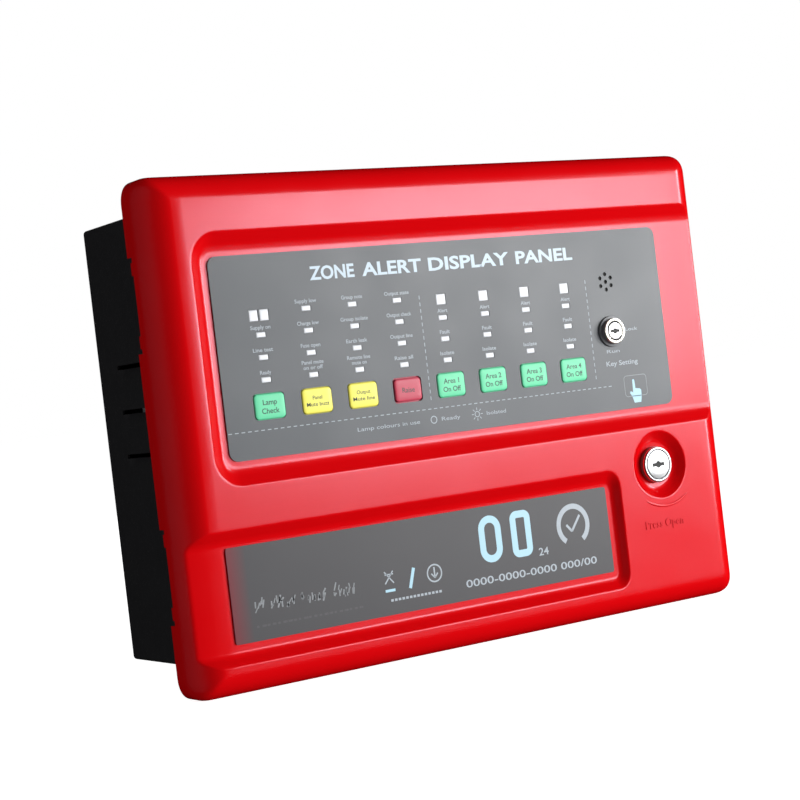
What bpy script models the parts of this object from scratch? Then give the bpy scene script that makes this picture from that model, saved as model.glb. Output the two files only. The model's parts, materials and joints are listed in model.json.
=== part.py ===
"""Wall-hung four-zone fire alarm control panel: a sheet-steel back box with the power supply,
batteries and main board in it, and a moulded cover on a left-hand hinge that carries the
display board, eight push keys, a key switch and a cam lock.

Frame: +Z up, the front faces -Y, the origin is the centre of the box's back face."""

import math

import bmesh
import bpy
from mathutils import Vector

MM = 0.001
GAP = 0.3 * MM  # air left between neighbouring pieces

# Cover: a shallow tray, front flat at y = FRONT, open towards the wall
COVER_W, COVER_H = 366 * MM, 266 * MM
FRONT = -101 * MM
COVER_DEEP = 22.2 * MM
COVER_WALL = 2.5 * MM
LEFT_BAND, LEFT_DROP, LEFT_POWER = 17 * MM, 16 * MM, 1.5  # soft shoulder on the hinge side
EDGE_BAND, EDGE_DROP, EDGE_POWER = 13 * MM, 11 * MM, 1.85  # shoulder on the other three sides
# How square the corners' outline is across x and across z: 2 is an ellipse, more is squarer
LEFT_CORNER, RIGHT_CORNER = (5, 2.2), (2.8, 2.8)
RECESS_DEEP = 4.6 * MM
FAR = 300 * MM  # past the outline: that side of a recess is open
RUN_OUT_X, RUN_OUT_BEND = -156 * MM, 5  # where the lower floor starts to bend back, and how fast, per metre
# Floor edges (left, right, bottom, top), width of the sloping wall on x, bottom and top, floor corner
UPPER_RECESS = (-151.5 * MM, FAR, -20 * MM, 93.5 * MM, 7.8 * MM, 8 * MM, 9.8 * MM, 8 * MM)
LOWER_RECESS = (-FAR, 95.5 * MM, -113.5 * MM, -57.2 * MM, 5.1 * MM, 4.5 * MM, 8.6 * MM, 4 * MM)

# Overlays lying on the recess floors
OVERLAY_THICK = 0.6 * MM
OVERLAY_FRONT = RECESS_DEEP - GAP - OVERLAY_THICK
STATUS_BOX = (-147.9 * MM, 150.3 * MM, -15.2 * MM, 90.2 * MM)
LOWER_BOX = (-156.9 * MM, 91.3 * MM, -107.4 * MM, -58 * MM)

# Grid of indicator windows and keys on the status overlay
COLUMNS, FIRST_COLUMN, COLUMN_PITCH = 8, -121.6 * MM, 28.6 * MM
ROWS, TOP_ROW, ROW_PITCH = 4, 60 * MM, 11.7 * MM
BIG_ROW = 58.4 * MM
SMALL_WINDOW = (5.8 * MM, 2.9 * MM)
BIG_WINDOW = (6.4 * MM, 6 * MM)
TWIN_WINDOW, TWIN_OFFSET = (5.4 * MM, 6 * MM), 3.15 * MM
KEY_Z, KEY_W, KEY_H, KEY_CORNER = 11.2 * MM, 18 * MM, 13.2 * MM, 2.2 * MM
KEY_PROUD, KEY_BACK, KEY_TRAVEL = 0.8 * MM, 8.2 * MM, 0.5 * MM
KEY_NAMES = ("reset", "panel_silence", "sounder_silence", "evacuate", "zone_1", "zone_2", "zone_3", "zone_4")
WINDOW_CUT = (-134 * MM, 93 * MM, 2 * MM, 65.5 * MM)

# Speaker, key switch and lock
SPEAKER = (109.7 * MM, 60 * MM)
KEYSWITCH = (109.3 * MM, 30.9 * MM)
LOCK = (131.5 * MM, -49.9 * MM)
DISH_R, DISH_DEEP, DISH_FLOOR_R = 20.35 * MM, 5.2 * MM, 12.5 * MM
LOCK_FACE = 1.3 * MM  # depth behind the cover's front flat
LOCK_NUT_END = 12.2 * MM
CAM_LONG, CAM_WIDE, CAM_THICK, CAM_DEPTH = 36 * MM, 14 * MM, 2.5 * MM, 20.8 * MM

# Display board behind the status overlay
BOARD_THICK = 1.6 * MM
DISPLAY_DEPTH = 12 * MM
DISPLAY_BOX = (-136 * MM, 124 * MM, -8 * MM, 74 * MM)
DISPLAY_POSTS = ((-125 * MM, 70 * MM), (85 * MM, 70 * MM), (-125 * MM, -3.5 * MM), (85 * MM, -3.5 * MM))

# Hinge
HINGE_X, HINGE_Y = -177 * MM, -82 * MM
HINGE_Z = 69.3 * MM
NOTCH_LONG, NOTCH_DEEP = 49 * MM, 4.8 * MM
PIN_R, KNUCKLE_R, KNUCKLE_HALF, LUG_LONG = 1.5 * MM, 2.9 * MM, 15 * MM, 6.6 * MM

# Back box
BOX_W, BOX_H, BOX_RIM = 342 * MM, 235 * MM, -86 * MM
SHEET = 1.2 * MM
BOX_BEND = 2.2 * MM
LOUVER_TOPS = (41.8 * MM, 17.9 * MM, -5.8 * MM)
LOUVER_SPAN, LOUVER_SLIT = (-67 * MM, -25 * MM), 2.2 * MM
FLOOR_Y = -SHEET - GAP  # where the pieces on the back plate start

# Main board
MAIN_BOX = (-120 * MM, 130 * MM, -40 * MM, 70 * MM)
MAIN_Y = -10 * MM
MAIN_FRONT = MAIN_Y - BOARD_THICK - GAP
MAIN_POSTS = ((-112 * MM, 62 * MM), (122 * MM, 62 * MM), (-112 * MM, -32 * MM), (122 * MM, -32 * MM))

# Ribbon cable between the boards, and the two sockets that it plugs in to
RIBBON_THICK = 1 * MM
RIBBON_SPAN, SOCKET_SPAN = (8 * MM, 30 * MM), (5 * MM, 33 * MM)
RIBBON_MAIN_X, RIBBON_MAIN_Y = -108 * MM, -20.4 * MM
RIBBON_DISPLAY_X, RIBBON_DISPLAY_Y = -123.5 * MM, -79.6 * MM

COLOURS = {
    "red_abs": ((0.62, 0.004, 0.008), 0.22, 0.0),
    "black_steel": ((0.012, 0.012, 0.013), 0.45, 0.0),
    "zinc_steel": ((0.55, 0.56, 0.58), 0.35, 1.0),
    "chrome": ((0.85, 0.86, 0.88), 0.08, 1.0),
    "overlay_grey": ((0.2, 0.22, 0.24), 0.3, 0.0),
    "overlay_dark": ((0.1, 0.105, 0.115), 0.3, 0.0),
    "green_key": ((0.15, 0.66, 0.36), 0.4, 0.0),
    "yellow_key": ((0.85, 0.82, 0.14), 0.4, 0.0),
    "red_key": ((0.5, 0.08, 0.13), 0.4, 0.0),
    "white_lens": ((0.75, 0.77, 0.8), 0.3, 0.0),
    "circuit_board": ((0.02, 0.16, 0.06), 0.4, 0.0),
    "black_plastic": ((0.02, 0.02, 0.022), 0.4, 0.0),
    "green_plastic": ((0.03, 0.3, 0.12), 0.4, 0.0),
    "nylon": ((0.8, 0.8, 0.76), 0.45, 0.0),
    "battery_grey": ((0.09, 0.09, 0.1), 0.5, 0.0),
    "laminated_iron": ((0.25, 0.25, 0.27), 0.5, 1.0),
    "winding_tape": ((0.75, 0.6, 0.12), 0.5, 0.0),
    "rubber": ((0.015, 0.015, 0.015), 0.7, 0.0),
    "ribbon_grey": ((0.5, 0.51, 0.53), 0.5, 0.0),
}


def clear_scene():
    for obj in list(bpy.data.objects):
        bpy.data.objects.remove(obj, do_unlink=True)


def material(slot):
    made = bpy.data.materials.get(slot)
    if made:
        return made
    colour, roughness, metallic = COLOURS[slot]
    made = bpy.data.materials.new(slot)
    made.use_nodes = True
    shader = made.node_tree.nodes["Principled BSDF"]
    shader.inputs["Base Color"].default_value = (*colour, 1)
    shader.inputs["Roughness"].default_value = roughness
    shader.inputs["Metallic"].default_value = metallic
    made.diffuse_color = (*colour, 1)
    return made


def at(x, depth, z):
    """A point that lies depth behind the cover's front flat."""
    return Vector((x, FRONT + depth, z))


def finish(name, bm, slot, origin=(0, 0, 0)):
    """The mesh as a named object whose origin is the given point."""
    bmesh.ops.remove_doubles(bm, verts=bm.verts, dist=0.001 * MM)
    bmesh.ops.recalc_face_normals(bm, faces=bm.faces)
    bmesh.ops.translate(bm, vec=-Vector(origin), verts=bm.verts)
    mesh = bpy.data.meshes.new(name)
    bm.to_mesh(mesh)
    bm.free()
    mesh.shade_smooth()
    mesh.set_sharp_from_angle(angle=math.radians(35))
    mesh.materials.append(material(slot))
    obj = bpy.data.objects.new(name, mesh)
    obj.location = origin
    bpy.context.scene.collection.objects.link(obj)
    return obj


def evaluated_mesh(obj):
    """Replaces the object's mesh by what its modifiers make of it."""
    bpy.context.view_layer.update()
    graph = bpy.context.evaluated_depsgraph_get()
    made = bpy.data.meshes.new_from_object(obj.evaluated_get(graph))
    obj.modifiers.clear()
    obj.data = made


def combine(obj, tool, operation):
    """Cuts the tool out of the object, or joins it on, and removes the tool."""
    step = obj.modifiers.new(operation.lower(), "BOOLEAN")
    step.operation = operation
    step.solver = "EXACT"
    step.object = tool
    evaluated_mesh(obj)
    bpy.data.objects.remove(tool, do_unlink=True)
    obj.data.shade_smooth()
    obj.data.set_sharp_from_angle(angle=math.radians(35))


def cut(obj, tool):
    combine(obj, tool, "DIFFERENCE")


def join(obj, tool):
    combine(obj, tool, "UNION")


def loft(rings, closed=False):
    """A bmesh skinned over rings of points of one count, capped unless the rings close on themselves."""
    bm = bmesh.new()
    loops = [[bm.verts.new(point) for point in ring] for ring in rings]
    count = len(loops[0])
    pairs = list(zip(loops, loops[1:]))
    if closed:
        pairs.append((loops[-1], loops[0]))
    for low, high in pairs:
        for i in range(count):
            j = (i + 1) % count
            bm.faces.new((low[i], low[j], high[j], high[i]))
    if not closed:
        bm.faces.new(loops[0])
        bm.faces.new(loops[-1])
    return bm


def rounded_outline(x0, x1, z0, z1, corner, steps=4):
    """A rectangle's outline in (x, z) with arcs at its corners."""
    if corner <= 0:
        return [(x0, z0), (x1, z0), (x1, z1), (x0, z1)]
    centres = ((x1 - corner, z0 + corner), (x1 - corner, z1 - corner), (x0 + corner, z1 - corner),
               (x0 + corner, z0 + corner))
    points = []
    for quarter, (cx, cz) in enumerate(centres):
        for i in range(steps + 1):
            angle = math.radians(-90 + 90 * quarter + 90 * i / steps)
            points.append((cx + corner * math.cos(angle), cz + corner * math.sin(angle)))
    return points


def circle_outline(cx, cz, radius, count=24):
    turn = 2 * math.pi / count
    return [(cx + radius * math.cos(i * turn), cz + radius * math.sin(i * turn)) for i in range(count)]


def block(name, x, y, z, slot, corner=0.0, origin=(0, 0, 0)):
    """A box between two limits on each axis, its four edges along Y rounded where a corner is given."""
    outline = rounded_outline(x[0], x[1], z[0], z[1], corner)
    return finish(name, loft([[Vector((px, py, pz)) for px, pz in outline] for py in y]), slot, origin)


def turned(name, centre, profile, slot, closed=False, count=28, origin=None, axis="Y"):
    """A solid of revolution: profile holds (radius, place along the axis); Y places are real y values."""
    rings = []
    for radius, along in profile:
        ring = circle_outline(centre[0], centre[1], radius, count)
        rings.append([Vector((a, along, b)) if axis == "Y" else Vector((a, b, along)) for a, b in ring])
    start = origin or (0, 0, 0)
    return finish(name, loft(rings, closed), slot, start)


def plate(name, outline, holes, y, slot, origin=(0, 0, 0), axis="Y"):
    """A flat sheet with holes: the filled outline, extruded between two places along the axis."""
    curve = bpy.data.curves.new(name, "CURVE")
    curve.dimensions = "2D"
    curve.fill_mode = "BOTH"
    curve.extrude = abs(y[1] - y[0]) / 2
    for loop in (outline, *holes):
        spline = curve.splines.new("POLY")
        spline.points.add(len(loop) - 1)
        spline.use_cyclic_u = True
        for point, (a, b) in zip(spline.points, loop):
            point.co = (a, b, 0, 1)
    drawn = bpy.data.objects.new(name + "_drawn", curve)
    bpy.context.scene.collection.objects.link(drawn)
    bpy.context.view_layer.update()
    mesh = bpy.data.meshes.new_from_object(drawn.evaluated_get(bpy.context.evaluated_depsgraph_get()))
    bpy.data.objects.remove(drawn, do_unlink=True)
    bm = bmesh.new()
    bm.from_mesh(mesh)
    middle = (y[0] + y[1]) / 2
    for vert in bm.verts:
        a, b, c = vert.co
        vert.co = (a, middle + c, b) if axis == "Y" else (a, b, middle + c)
    return finish(name, bm, slot, origin)


def prism(name, outline, z, slot):
    """An outline in (x, y) extruded between two heights."""
    return finish(name, loft([[Vector((px, py, pz)) for px, py in outline] for pz in z]), slot)


def band_outline(points, thick):
    """The outline of a strip of one thickness along a path in (x, y)."""
    left, right = [], []
    for i, (px, py) in enumerate(points):
        ahead = Vector(points[min(i + 1, len(points) - 1)]) - Vector((px, py))
        behind = Vector((px, py)) - Vector(points[max(i - 1, 0)])
        along_a, along_b = (v.normalized() if v.length > 0 else None for v in (behind, ahead))
        along_a, along_b = along_a or along_b, along_b or along_a
        way = (along_a + along_b).normalized()
        side = Vector((-way.y, way.x)) * (thick / 2 / max(0.3, way.dot(along_a)))
        left.append((px + side.x, py + side.y))
        right.append((px - side.x, py - side.y))
    return left + right[::-1]


def smooth_path(knots, steps):
    """Points of a Catmull-Rom curve through the knots."""
    ends = [knots[0]] + list(knots) + [knots[-1]]
    points = []
    for a, b, c, d in zip(ends, ends[1:], ends[2:], ends[3:]):
        for i in range(steps):
            t = i / steps
            points.append(tuple(
                0.5 * (2 * q + (r - p) * t + (2 * p - 5 * q + 4 * r - s) * t * t + (3 * q - p - 3 * r + s) * t**3)
                for p, q, r, s in zip(a, b, c, d)))
    return points + [knots[-1]]


# Front cover


def shoulder(t, drop, power):
    """How far the surface has fallen at t, from 0 on the flat to 1 on the outline."""
    return drop * (1 - (1 - min(t, 1) ** power) ** (1 / power))


def recess(x, z, limits):
    """Depth of a sunk floor with sloping walls at (x, z)."""
    left, right, bottom, top, wall_x, wall_bottom, wall_top, corner = limits
    over_x = max(left + corner - x, x - right + corner, 0)
    above = z - top + corner
    below = bottom + corner - z
    over_z = max(above, below, 0)
    reach = math.hypot(over_x, over_z)
    deep = RECESS_DEEP
    if left <= -FAR:
        deep += RUN_OUT_BEND * max(RUN_OUT_X - x, 0) ** 2
    if reach <= corner:
        return deep
    wall_z = wall_top if above > below else wall_bottom
    share = (over_x / reach) ** 2
    wall = share * wall_x + (1 - share) * wall_z
    return deep * max(0, 1 - (reach - corner) / wall)


def cover_lines(flat_low, flat_high, between, stations=(0.35, 0.6, 0.8, 0.93, 1)):
    """Grid lines across the cover: (place, share of the way down the low or high shoulder)."""
    lines = [(flat_low, -t) for t in reversed(stations)] + [(flat_low, 0)]
    lines += [(place, 0) for place in between]
    return lines + [(flat_high, 0)] + [(flat_high, t) for t in stations]


def cover_point(x_line, z_line, bands):
    """The outer surface where two grid lines cross: straight in the middle, a squarish sweep at the corners."""
    (x, tx), (z, tz) = x_line, z_line
    band_x, drop_x, power_x = bands["left"] if tx < 0 else bands["edge"]
    band_z, drop_z, power_z = bands["edge"]
    across, up = abs(tx), abs(tz)
    far = max(across, up)
    angle = 0.0
    if far > 0:
        angle = math.pi / 4 * up / across if across >= up else math.pi / 2 - math.pi / 4 * across / up
    square_x, square_z = LEFT_CORNER if tx < 0 else RIGHT_CORNER
    x += math.copysign(band_x * far * math.cos(angle) ** (2 / square_x), tx) if across else 0
    z += math.copysign(band_z * far * math.sin(angle) ** (2 / square_z), tz) if up else 0
    fall = math.cos(angle) ** 2 * shoulder(far, drop_x, power_x)
    fall += math.sin(angle) ** 2 * shoulder(far, drop_z, power_z)
    return x, z, max(fall, recess(x, z, UPPER_RECESS), recess(x, z, LOWER_RECESS))


def cover_shell():
    """The moulded tray: outer skin over a grid, side walls to the rear edge, thickened inwards."""
    bands = {"left": (LEFT_BAND, LEFT_DROP, LEFT_POWER), "edge": (EDGE_BAND, EDGE_DROP, EDGE_POWER)}
    flat_left, flat_right = -COVER_W / 2 + LEFT_BAND, COVER_W / 2 - EDGE_BAND
    flat_z = COVER_H / 2 - EDGE_BAND
    up_left, lo_right = UPPER_RECESS[0], LOWER_RECESS[1]
    x_between = [up_left - UPPER_RECESS[4], up_left, up_left + 2.5 * MM, up_left + UPPER_RECESS[7]]
    x_between += [-100 * MM, -50 * MM, 0, 50 * MM, lo_right - LOWER_RECESS[7], lo_right - MM, lo_right]
    x_between += [lo_right + LOWER_RECESS[4], LOCK[0] - 25 * MM, LOCK[0] + 25 * MM]
    z_between = []
    for _, _, bottom, top, _, wall_bottom, wall_top, corner in (LOWER_RECESS, UPPER_RECESS):
        z_between += [bottom - wall_bottom, bottom, bottom + corner * 0.3, bottom + corner]
        z_between += [top - corner, top - corner * 0.3, top, top + wall_top]
    z_between.append((UPPER_RECESS[2] + UPPER_RECESS[3]) / 2)
    x_lines = cover_lines(flat_left, flat_right, sorted(x_between))
    z_lines = cover_lines(-flat_z, flat_z, sorted(z_between))
    bm = bmesh.new()
    grid = []
    for x_line in x_lines:
        column = []
        for z_line in z_lines:
            x, z, depth = cover_point(x_line, z_line, bands)
            column.append(bm.verts.new(at(x, depth, z)))
        grid.append(column)
    last_x, last_z = len(x_lines) - 1, len(z_lines) - 1
    for i in range(last_x):
        for j in range(last_z):
            bm.faces.new((grid[i][j], grid[i + 1][j], grid[i + 1][j + 1], grid[i][j + 1]))
    rim = [grid[i][0] for i in range(last_x)] + [grid[last_x][j] for j in range(last_z)]
    rim += [grid[i][last_z] for i in range(last_x, 0, -1)] + [grid[0][j] for j in range(last_z, 0, -1)]
    rear = [bm.verts.new(at(v.co.x, COVER_DEEP, v.co.z)) for v in rim]
    for i in range(len(rim)):
        j = (i + 1) % len(rim)
        bm.faces.new((rim[i], rear[i], rear[j], rim[j]))
    shell = finish("front_cover", bm, "red_abs")
    thick = shell.modifiers.new("wall", "SOLIDIFY")
    thick.thickness = COVER_WALL
    thick.offset = -1
    evaluated_mesh(shell)
    return shell


def lock_dish():
    """The bowl round the lock, turned, with a hole for the barrel in its floor."""
    x, z = LOCK
    lip = DISH_R + 0.8 * MM
    outer = [(DISH_R, 0), (DISH_R - 1.5 * MM, 1.4 * MM), (16.2 * MM, 3.7 * MM), (DISH_FLOOR_R, DISH_DEEP)]
    outer += [(9.5 * MM, DISH_DEEP), (9.5 * MM, DISH_DEEP + COVER_WALL)]
    outer += [(DISH_FLOOR_R + 0.6 * MM, DISH_DEEP + COVER_WALL), (17.5 * MM, 6.1 * MM), (lip, 2 * MM), (lip, 0)]
    profile = [(radius, FRONT + depth) for radius, depth in outer]
    return turned("dish", (x, z), profile, "red_abs", closed=True, count=36)


def hinge_lug(z0, z1):
    """One moulded ear that holds a hinge pin, grown out of the cover's left wall."""
    outline = [(-181.8, -79.3), (-181.8, -84), (-177.5, -91.5), (-173.5, -91.5), (-173.5, -79.3)]
    lug = prism("lug", [(x * MM, y * MM) for x, y in outline], (z0, z1), "red_abs")
    bore = [(PIN_R + GAP, z0 - MM), (PIN_R + GAP, z1 + MM)]
    cut(lug, turned("bore", (HINGE_X, HINGE_Y), bore, "red_abs", axis="Z", count=16))
    return lug


def front_cover():
    cover = cover_shell()
    hole = [(DISH_R + 0.3 * MM, FRONT - MM), (DISH_R + 0.3 * MM, FRONT + 8 * MM)]
    cut(cover, turned("hole", LOCK, hole, "red_abs", count=36))
    join(cover, lock_dish())
    left, right, bottom, top = WINDOW_CUT
    through = (FRONT + 2 * MM, FRONT + 10 * MM)
    cut(cover, block("window", (left, right), through, (bottom, top), "red_abs"))
    for centre, radius in ((KEYSWITCH, 7.5 * MM), (SPEAKER, 7 * MM)):
        cut(cover, turned("hole", centre, [(radius, through[0]), (radius, through[1])], "red_abs", count=24))
    for x, z in DISPLAY_POSTS:
        post = [(3.4 * MM, FRONT + RECESS_DEEP + 1.5 * MM), (3 * MM, FRONT + DISPLAY_DEPTH - GAP)]
        join(cover, turned("post", (x, z), post, "red_abs", count=16))
        bore = [(1.6 * MM, FRONT + 7.4 * MM), (1.6 * MM, FRONT + DISPLAY_DEPTH + MM)]
        cut(cover, turned("bore", (x, z), bore, "red_abs", count=12))
    for side in (-1, 1):
        middle = side * HINGE_Z
        for start in (middle - KNUCKLE_HALF - 0.4 * MM - LUG_LONG, middle + KNUCKLE_HALF + 0.4 * MM):
            join(cover, hinge_lug(start, start + LUG_LONG))
        notch = block("notch", (-185 * MM, -180.2 * MM), (FRONT + COVER_DEEP - NOTCH_DEEP, FRONT + COVER_DEEP + MM),
                      (middle - NOTCH_LONG / 2, middle + NOTCH_LONG / 2), "red_abs")
        cut(cover, notch)
    return cover


# Status overlay, light guide, keys


def window_places():
    """(x, z, width, height) of every indicator window."""
    places = []
    for column in range(COLUMNS):
        x = FIRST_COLUMN + column * COLUMN_PITCH
        if column == 0:
            places += [(x + side * TWIN_OFFSET, BIG_ROW, *TWIN_WINDOW) for side in (-1, 1)]
        elif column < COLUMNS // 2:
            places.append((x, TOP_ROW, *SMALL_WINDOW))
        else:
            places.append((x, BIG_ROW, *BIG_WINDOW))
        places += [(x, TOP_ROW - row * ROW_PITCH, *SMALL_WINDOW) for row in range(1, ROWS)]
    return places


def key_place(column):
    return FIRST_COLUMN + column * COLUMN_PITCH, KEY_Z


def status_overlay():
    left, right, bottom, top = STATUS_BOX
    holes = [rounded_outline(x - w / 2, x + w / 2, z - h / 2, z + h / 2, 0) for x, z, w, h in window_places()]
    for column in range(COLUMNS):
        x, z = key_place(column)
        w, h = KEY_W / 2 + GAP, KEY_H / 2 + GAP
        holes.append(rounded_outline(x - w, x + w, z - h, z + h, KEY_CORNER, 3))
    holes.append(circle_outline(*KEYSWITCH, 7.5 * MM))
    holes.append(circle_outline(*SPEAKER, 1.2 * MM, 10))
    for i in range(6):
        angle = math.radians(30 + 60 * i)
        x = SPEAKER[0] + 4.5 * MM * math.cos(angle)
        z = SPEAKER[1] + 4.5 * MM * math.sin(angle)
        holes.append(circle_outline(x, z, 1.2 * MM, 10))
    y = (FRONT + OVERLAY_FRONT, FRONT + OVERLAY_FRONT + OVERLAY_THICK)
    return plate("status_overlay", rounded_outline(left, right, bottom, top, 5 * MM), holes, y, "overlay_grey")


def lower_overlay():
    left, right, bottom, top = LOWER_BOX
    y = (FRONT + OVERLAY_FRONT, FRONT + OVERLAY_FRONT + OVERLAY_THICK)
    return block("lower_overlay", (left, right), y, (bottom, top), "overlay_dark", 1.5 * MM)


def light_guide():
    """A clear plate whose raised blocks fill the indicator windows."""
    back, face, tips = FRONT + 8 * MM, FRONT + 6.6 * MM, FRONT + OVERLAY_FRONT + 0.2 * MM
    guide = block("led_light_guide", (-132 * MM, 91 * MM), (face, back), (20.6 * MM, 64.5 * MM), "white_lens")
    bm = bmesh.new()
    for x, z, w, h in window_places():
        w, h = w / 2 - GAP, h / 2 - GAP
        outline = rounded_outline(x - w, x + w, z - h, z + h, 0)
        rings = [[bm.verts.new((px, y, pz)) for px, pz in outline] for y in (tips, face + 0.5 * MM)]
        for i in range(4):
            j = (i + 1) % 4
            bm.faces.new((rings[0][i], rings[0][j], rings[1][j], rings[1][i]))
        bm.faces.new(rings[0])
        bm.faces.new(rings[1])
    join(guide, finish("blocks", bm, "white_lens"))
    return guide


def push_key(column):
    """A key cap with a retaining flange behind the overlay; it slides along +Y."""
    x, z = key_place(column)
    smaller = 0.4 * MM if KEY_NAMES[column] == "evacuate" else 0
    crown = OVERLAY_FRONT - KEY_PROUD
    sections = [(crown, -0.5 * MM), (crown + 0.35 * MM, 0), (4.9 * MM, 0), (4.9 * MM, MM), (5.9 * MM, MM)]
    sections += [(5.9 * MM, -3 * MM), (KEY_BACK, -3 * MM)]
    rings = []
    for depth, grow in sections:
        w, h, r = KEY_W / 2 + grow - smaller, KEY_H / 2 + grow - smaller, KEY_CORNER
        rings.append([at(px, depth, pz) for px, pz in rounded_outline(x - w, x + w, z - h, z + h, r, 3)])
    slot = ("green_key", "yellow_key", "yellow_key", "red_key")[column] if column < 4 else "green_key"
    return finish("key_" + KEY_NAMES[column], loft(rings), slot, at(x, crown, z))


def display_board():
    """The board behind the status overlay with a tact switch soldered behind each key."""
    left, right, bottom, top = DISPLAY_BOX
    holes = [circle_outline(*KEYSWITCH, 12 * MM)]
    holes += [circle_outline(x, z, 1.7 * MM, 12) for x, z in DISPLAY_POSTS]
    y = (FRONT + DISPLAY_DEPTH, FRONT + DISPLAY_DEPTH + BOARD_THICK)
    board = plate("display_board", rounded_outline(left, right, bottom, top, 0), holes, y, "circuit_board")
    for column in range(COLUMNS):
        x, z = key_place(column)
        half = 3 * MM
        switch = block("switch", (x - half, x + half), (FRONT + 9 * MM, FRONT + DISPLAY_DEPTH + 0.5 * MM),
                       (z - half, z + half), "black_plastic")
        join(board, switch)
    return board


def board_screw(number, x, z):
    head, under = FRONT + DISPLAY_DEPTH + BOARD_THICK + GAP, 1.3 * MM
    profile = [(under, FRONT + 8 * MM), (under, head), (2.8 * MM, head), (2.8 * MM, head + 0.8 * MM)]
    profile += [(1.8 * MM, head + 1.6 * MM)]
    return turned(f"board_screw_{number}", (x, z), profile, "zinc_steel", count=14)


def display_socket():
    """The header on the back of the display board that the ribbon cable plugs in to."""
    back = FRONT + DISPLAY_DEPTH + BOARD_THICK + GAP
    x = (RIBBON_DISPLAY_X - 4.5 * MM, RIBBON_DISPLAY_X + 4.5 * MM)
    block("display_ribbon_socket", x, (back, RIBBON_DISPLAY_Y - 0.4 * MM), SOCKET_SPAN, "black_plastic")


def buzzer():
    profile = [(8.5 * MM, FRONT + 7.6 * MM), (8.5 * MM, FRONT + DISPLAY_DEPTH - GAP)]
    return turned("buzzer", SPEAKER, profile, "black_plastic", count=24)


# Lock and key switch


def hex_outline(centre, across_flats):
    return circle_outline(*centre, across_flats / math.sqrt(3), 6)


def key_slot(name, centre, face, length, width, deep):
    """The keyway as a cutter: a slot with a round bulge in its middle."""
    x, z = centre
    slot = block(name, (x - length / 2, x + length / 2), (face - MM, face + deep), (z - width / 2, z + width / 2),
                 "chrome")
    bulge = [(width * 0.95, face - MM), (width * 0.95, face + deep * 0.9)]
    join(slot, turned("bulge", centre, bulge, "chrome", count=12))
    return slot


def cam_lock():
    """Lock body fixed in the cover, and the plug, cam and nut that turn in it."""
    face = FRONT + LOCK_FACE
    under = FRONT + DISH_DEEP - GAP
    end = FRONT + 20 * MM
    profile = [(9.9 * MM, face), (10.75 * MM, face + 0.9 * MM), (10.75 * MM, under), (9.2 * MM, under)]
    profile += [(9.2 * MM, end), (6.5 * MM, end), (6.5 * MM, face + 2.7 * MM), (9 * MM, face + 2.7 * MM), (9 * MM, face)]
    turned("lock_body", LOCK, profile, "chrome", closed=True, count=32)
    plate("lock_nut", hex_outline(LOCK, 24 * MM), [circle_outline(*LOCK, 9.5 * MM)],
          (FRONT + DISH_DEEP + COVER_WALL + GAP, FRONT + LOCK_NUT_END), "zinc_steel")
    axis = (LOCK[0], face, LOCK[1])
    profile = [(8.2 * MM, face), (8.7 * MM, face + 0.4 * MM), (8.7 * MM, face + 2.4 * MM), (6.2 * MM, face + 2.4 * MM)]
    profile += [(6.2 * MM, end + 0.5 * MM), (4 * MM, end + 0.5 * MM), (4 * MM, end + 6 * MM)]
    plug = turned("lock_plug", LOCK, profile, "chrome", count=32, origin=axis)
    cut(plug, key_slot("keyway", LOCK, face, 9 * MM, 1.7 * MM, 2 * MM))
    x, z = LOCK
    outline = rounded_outline(x - CAM_WIDE / 2, x + CAM_WIDE / 2, z - CAM_LONG, z + 8 * MM, 5 * MM)
    start = FRONT + CAM_DEPTH
    plate("lock_cam", outline, [circle_outline(*LOCK, 4.3 * MM, 20)], (start, start + CAM_THICK), "zinc_steel", axis)
    start += CAM_THICK + GAP
    plate("lock_cam_nut", hex_outline(LOCK, 12 * MM), [circle_outline(*LOCK, 4.3 * MM, 16)],
          (start, start + 3 * MM), "zinc_steel", axis)


def key_switch():
    """Key-operated switch: body clamped in the overlay and cover floor, and its plug."""
    face = FRONT - 0.5 * MM
    seat = FRONT + OVERLAY_FRONT - GAP
    profile = [(7.1 * MM, face), (7.5 * MM, face + 0.4 * MM), (7.5 * MM, seat - 1.2 * MM), (9 * MM, seat - 0.9 * MM)]
    profile += [(9 * MM, seat), (7.2 * MM, seat), (7.2 * MM, FRONT + 30 * MM), (5.6 * MM, FRONT + 30 * MM)]
    profile += [(5.6 * MM, face)]
    turned("keyswitch_body", KEYSWITCH, profile, "chrome", closed=True)
    plate("keyswitch_nut", hex_outline(KEYSWITCH, 19 * MM), [circle_outline(*KEYSWITCH, 7.5 * MM)],
          (FRONT + RECESS_DEEP + COVER_WALL + GAP, FRONT + 11 * MM), "zinc_steel")
    profile = [(5 * MM, face), (5.3 * MM, face + 0.3 * MM), (5.3 * MM, FRONT + 24 * MM)]
    plug = turned("keyswitch_plug", KEYSWITCH, profile, "chrome", origin=(KEYSWITCH[0], face, KEYSWITCH[1]))
    cut(plug, key_slot("keyway", KEYSWITCH, face, 7 * MM, 1.3 * MM, 1.6 * MM))


# Hinge hardware


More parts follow.
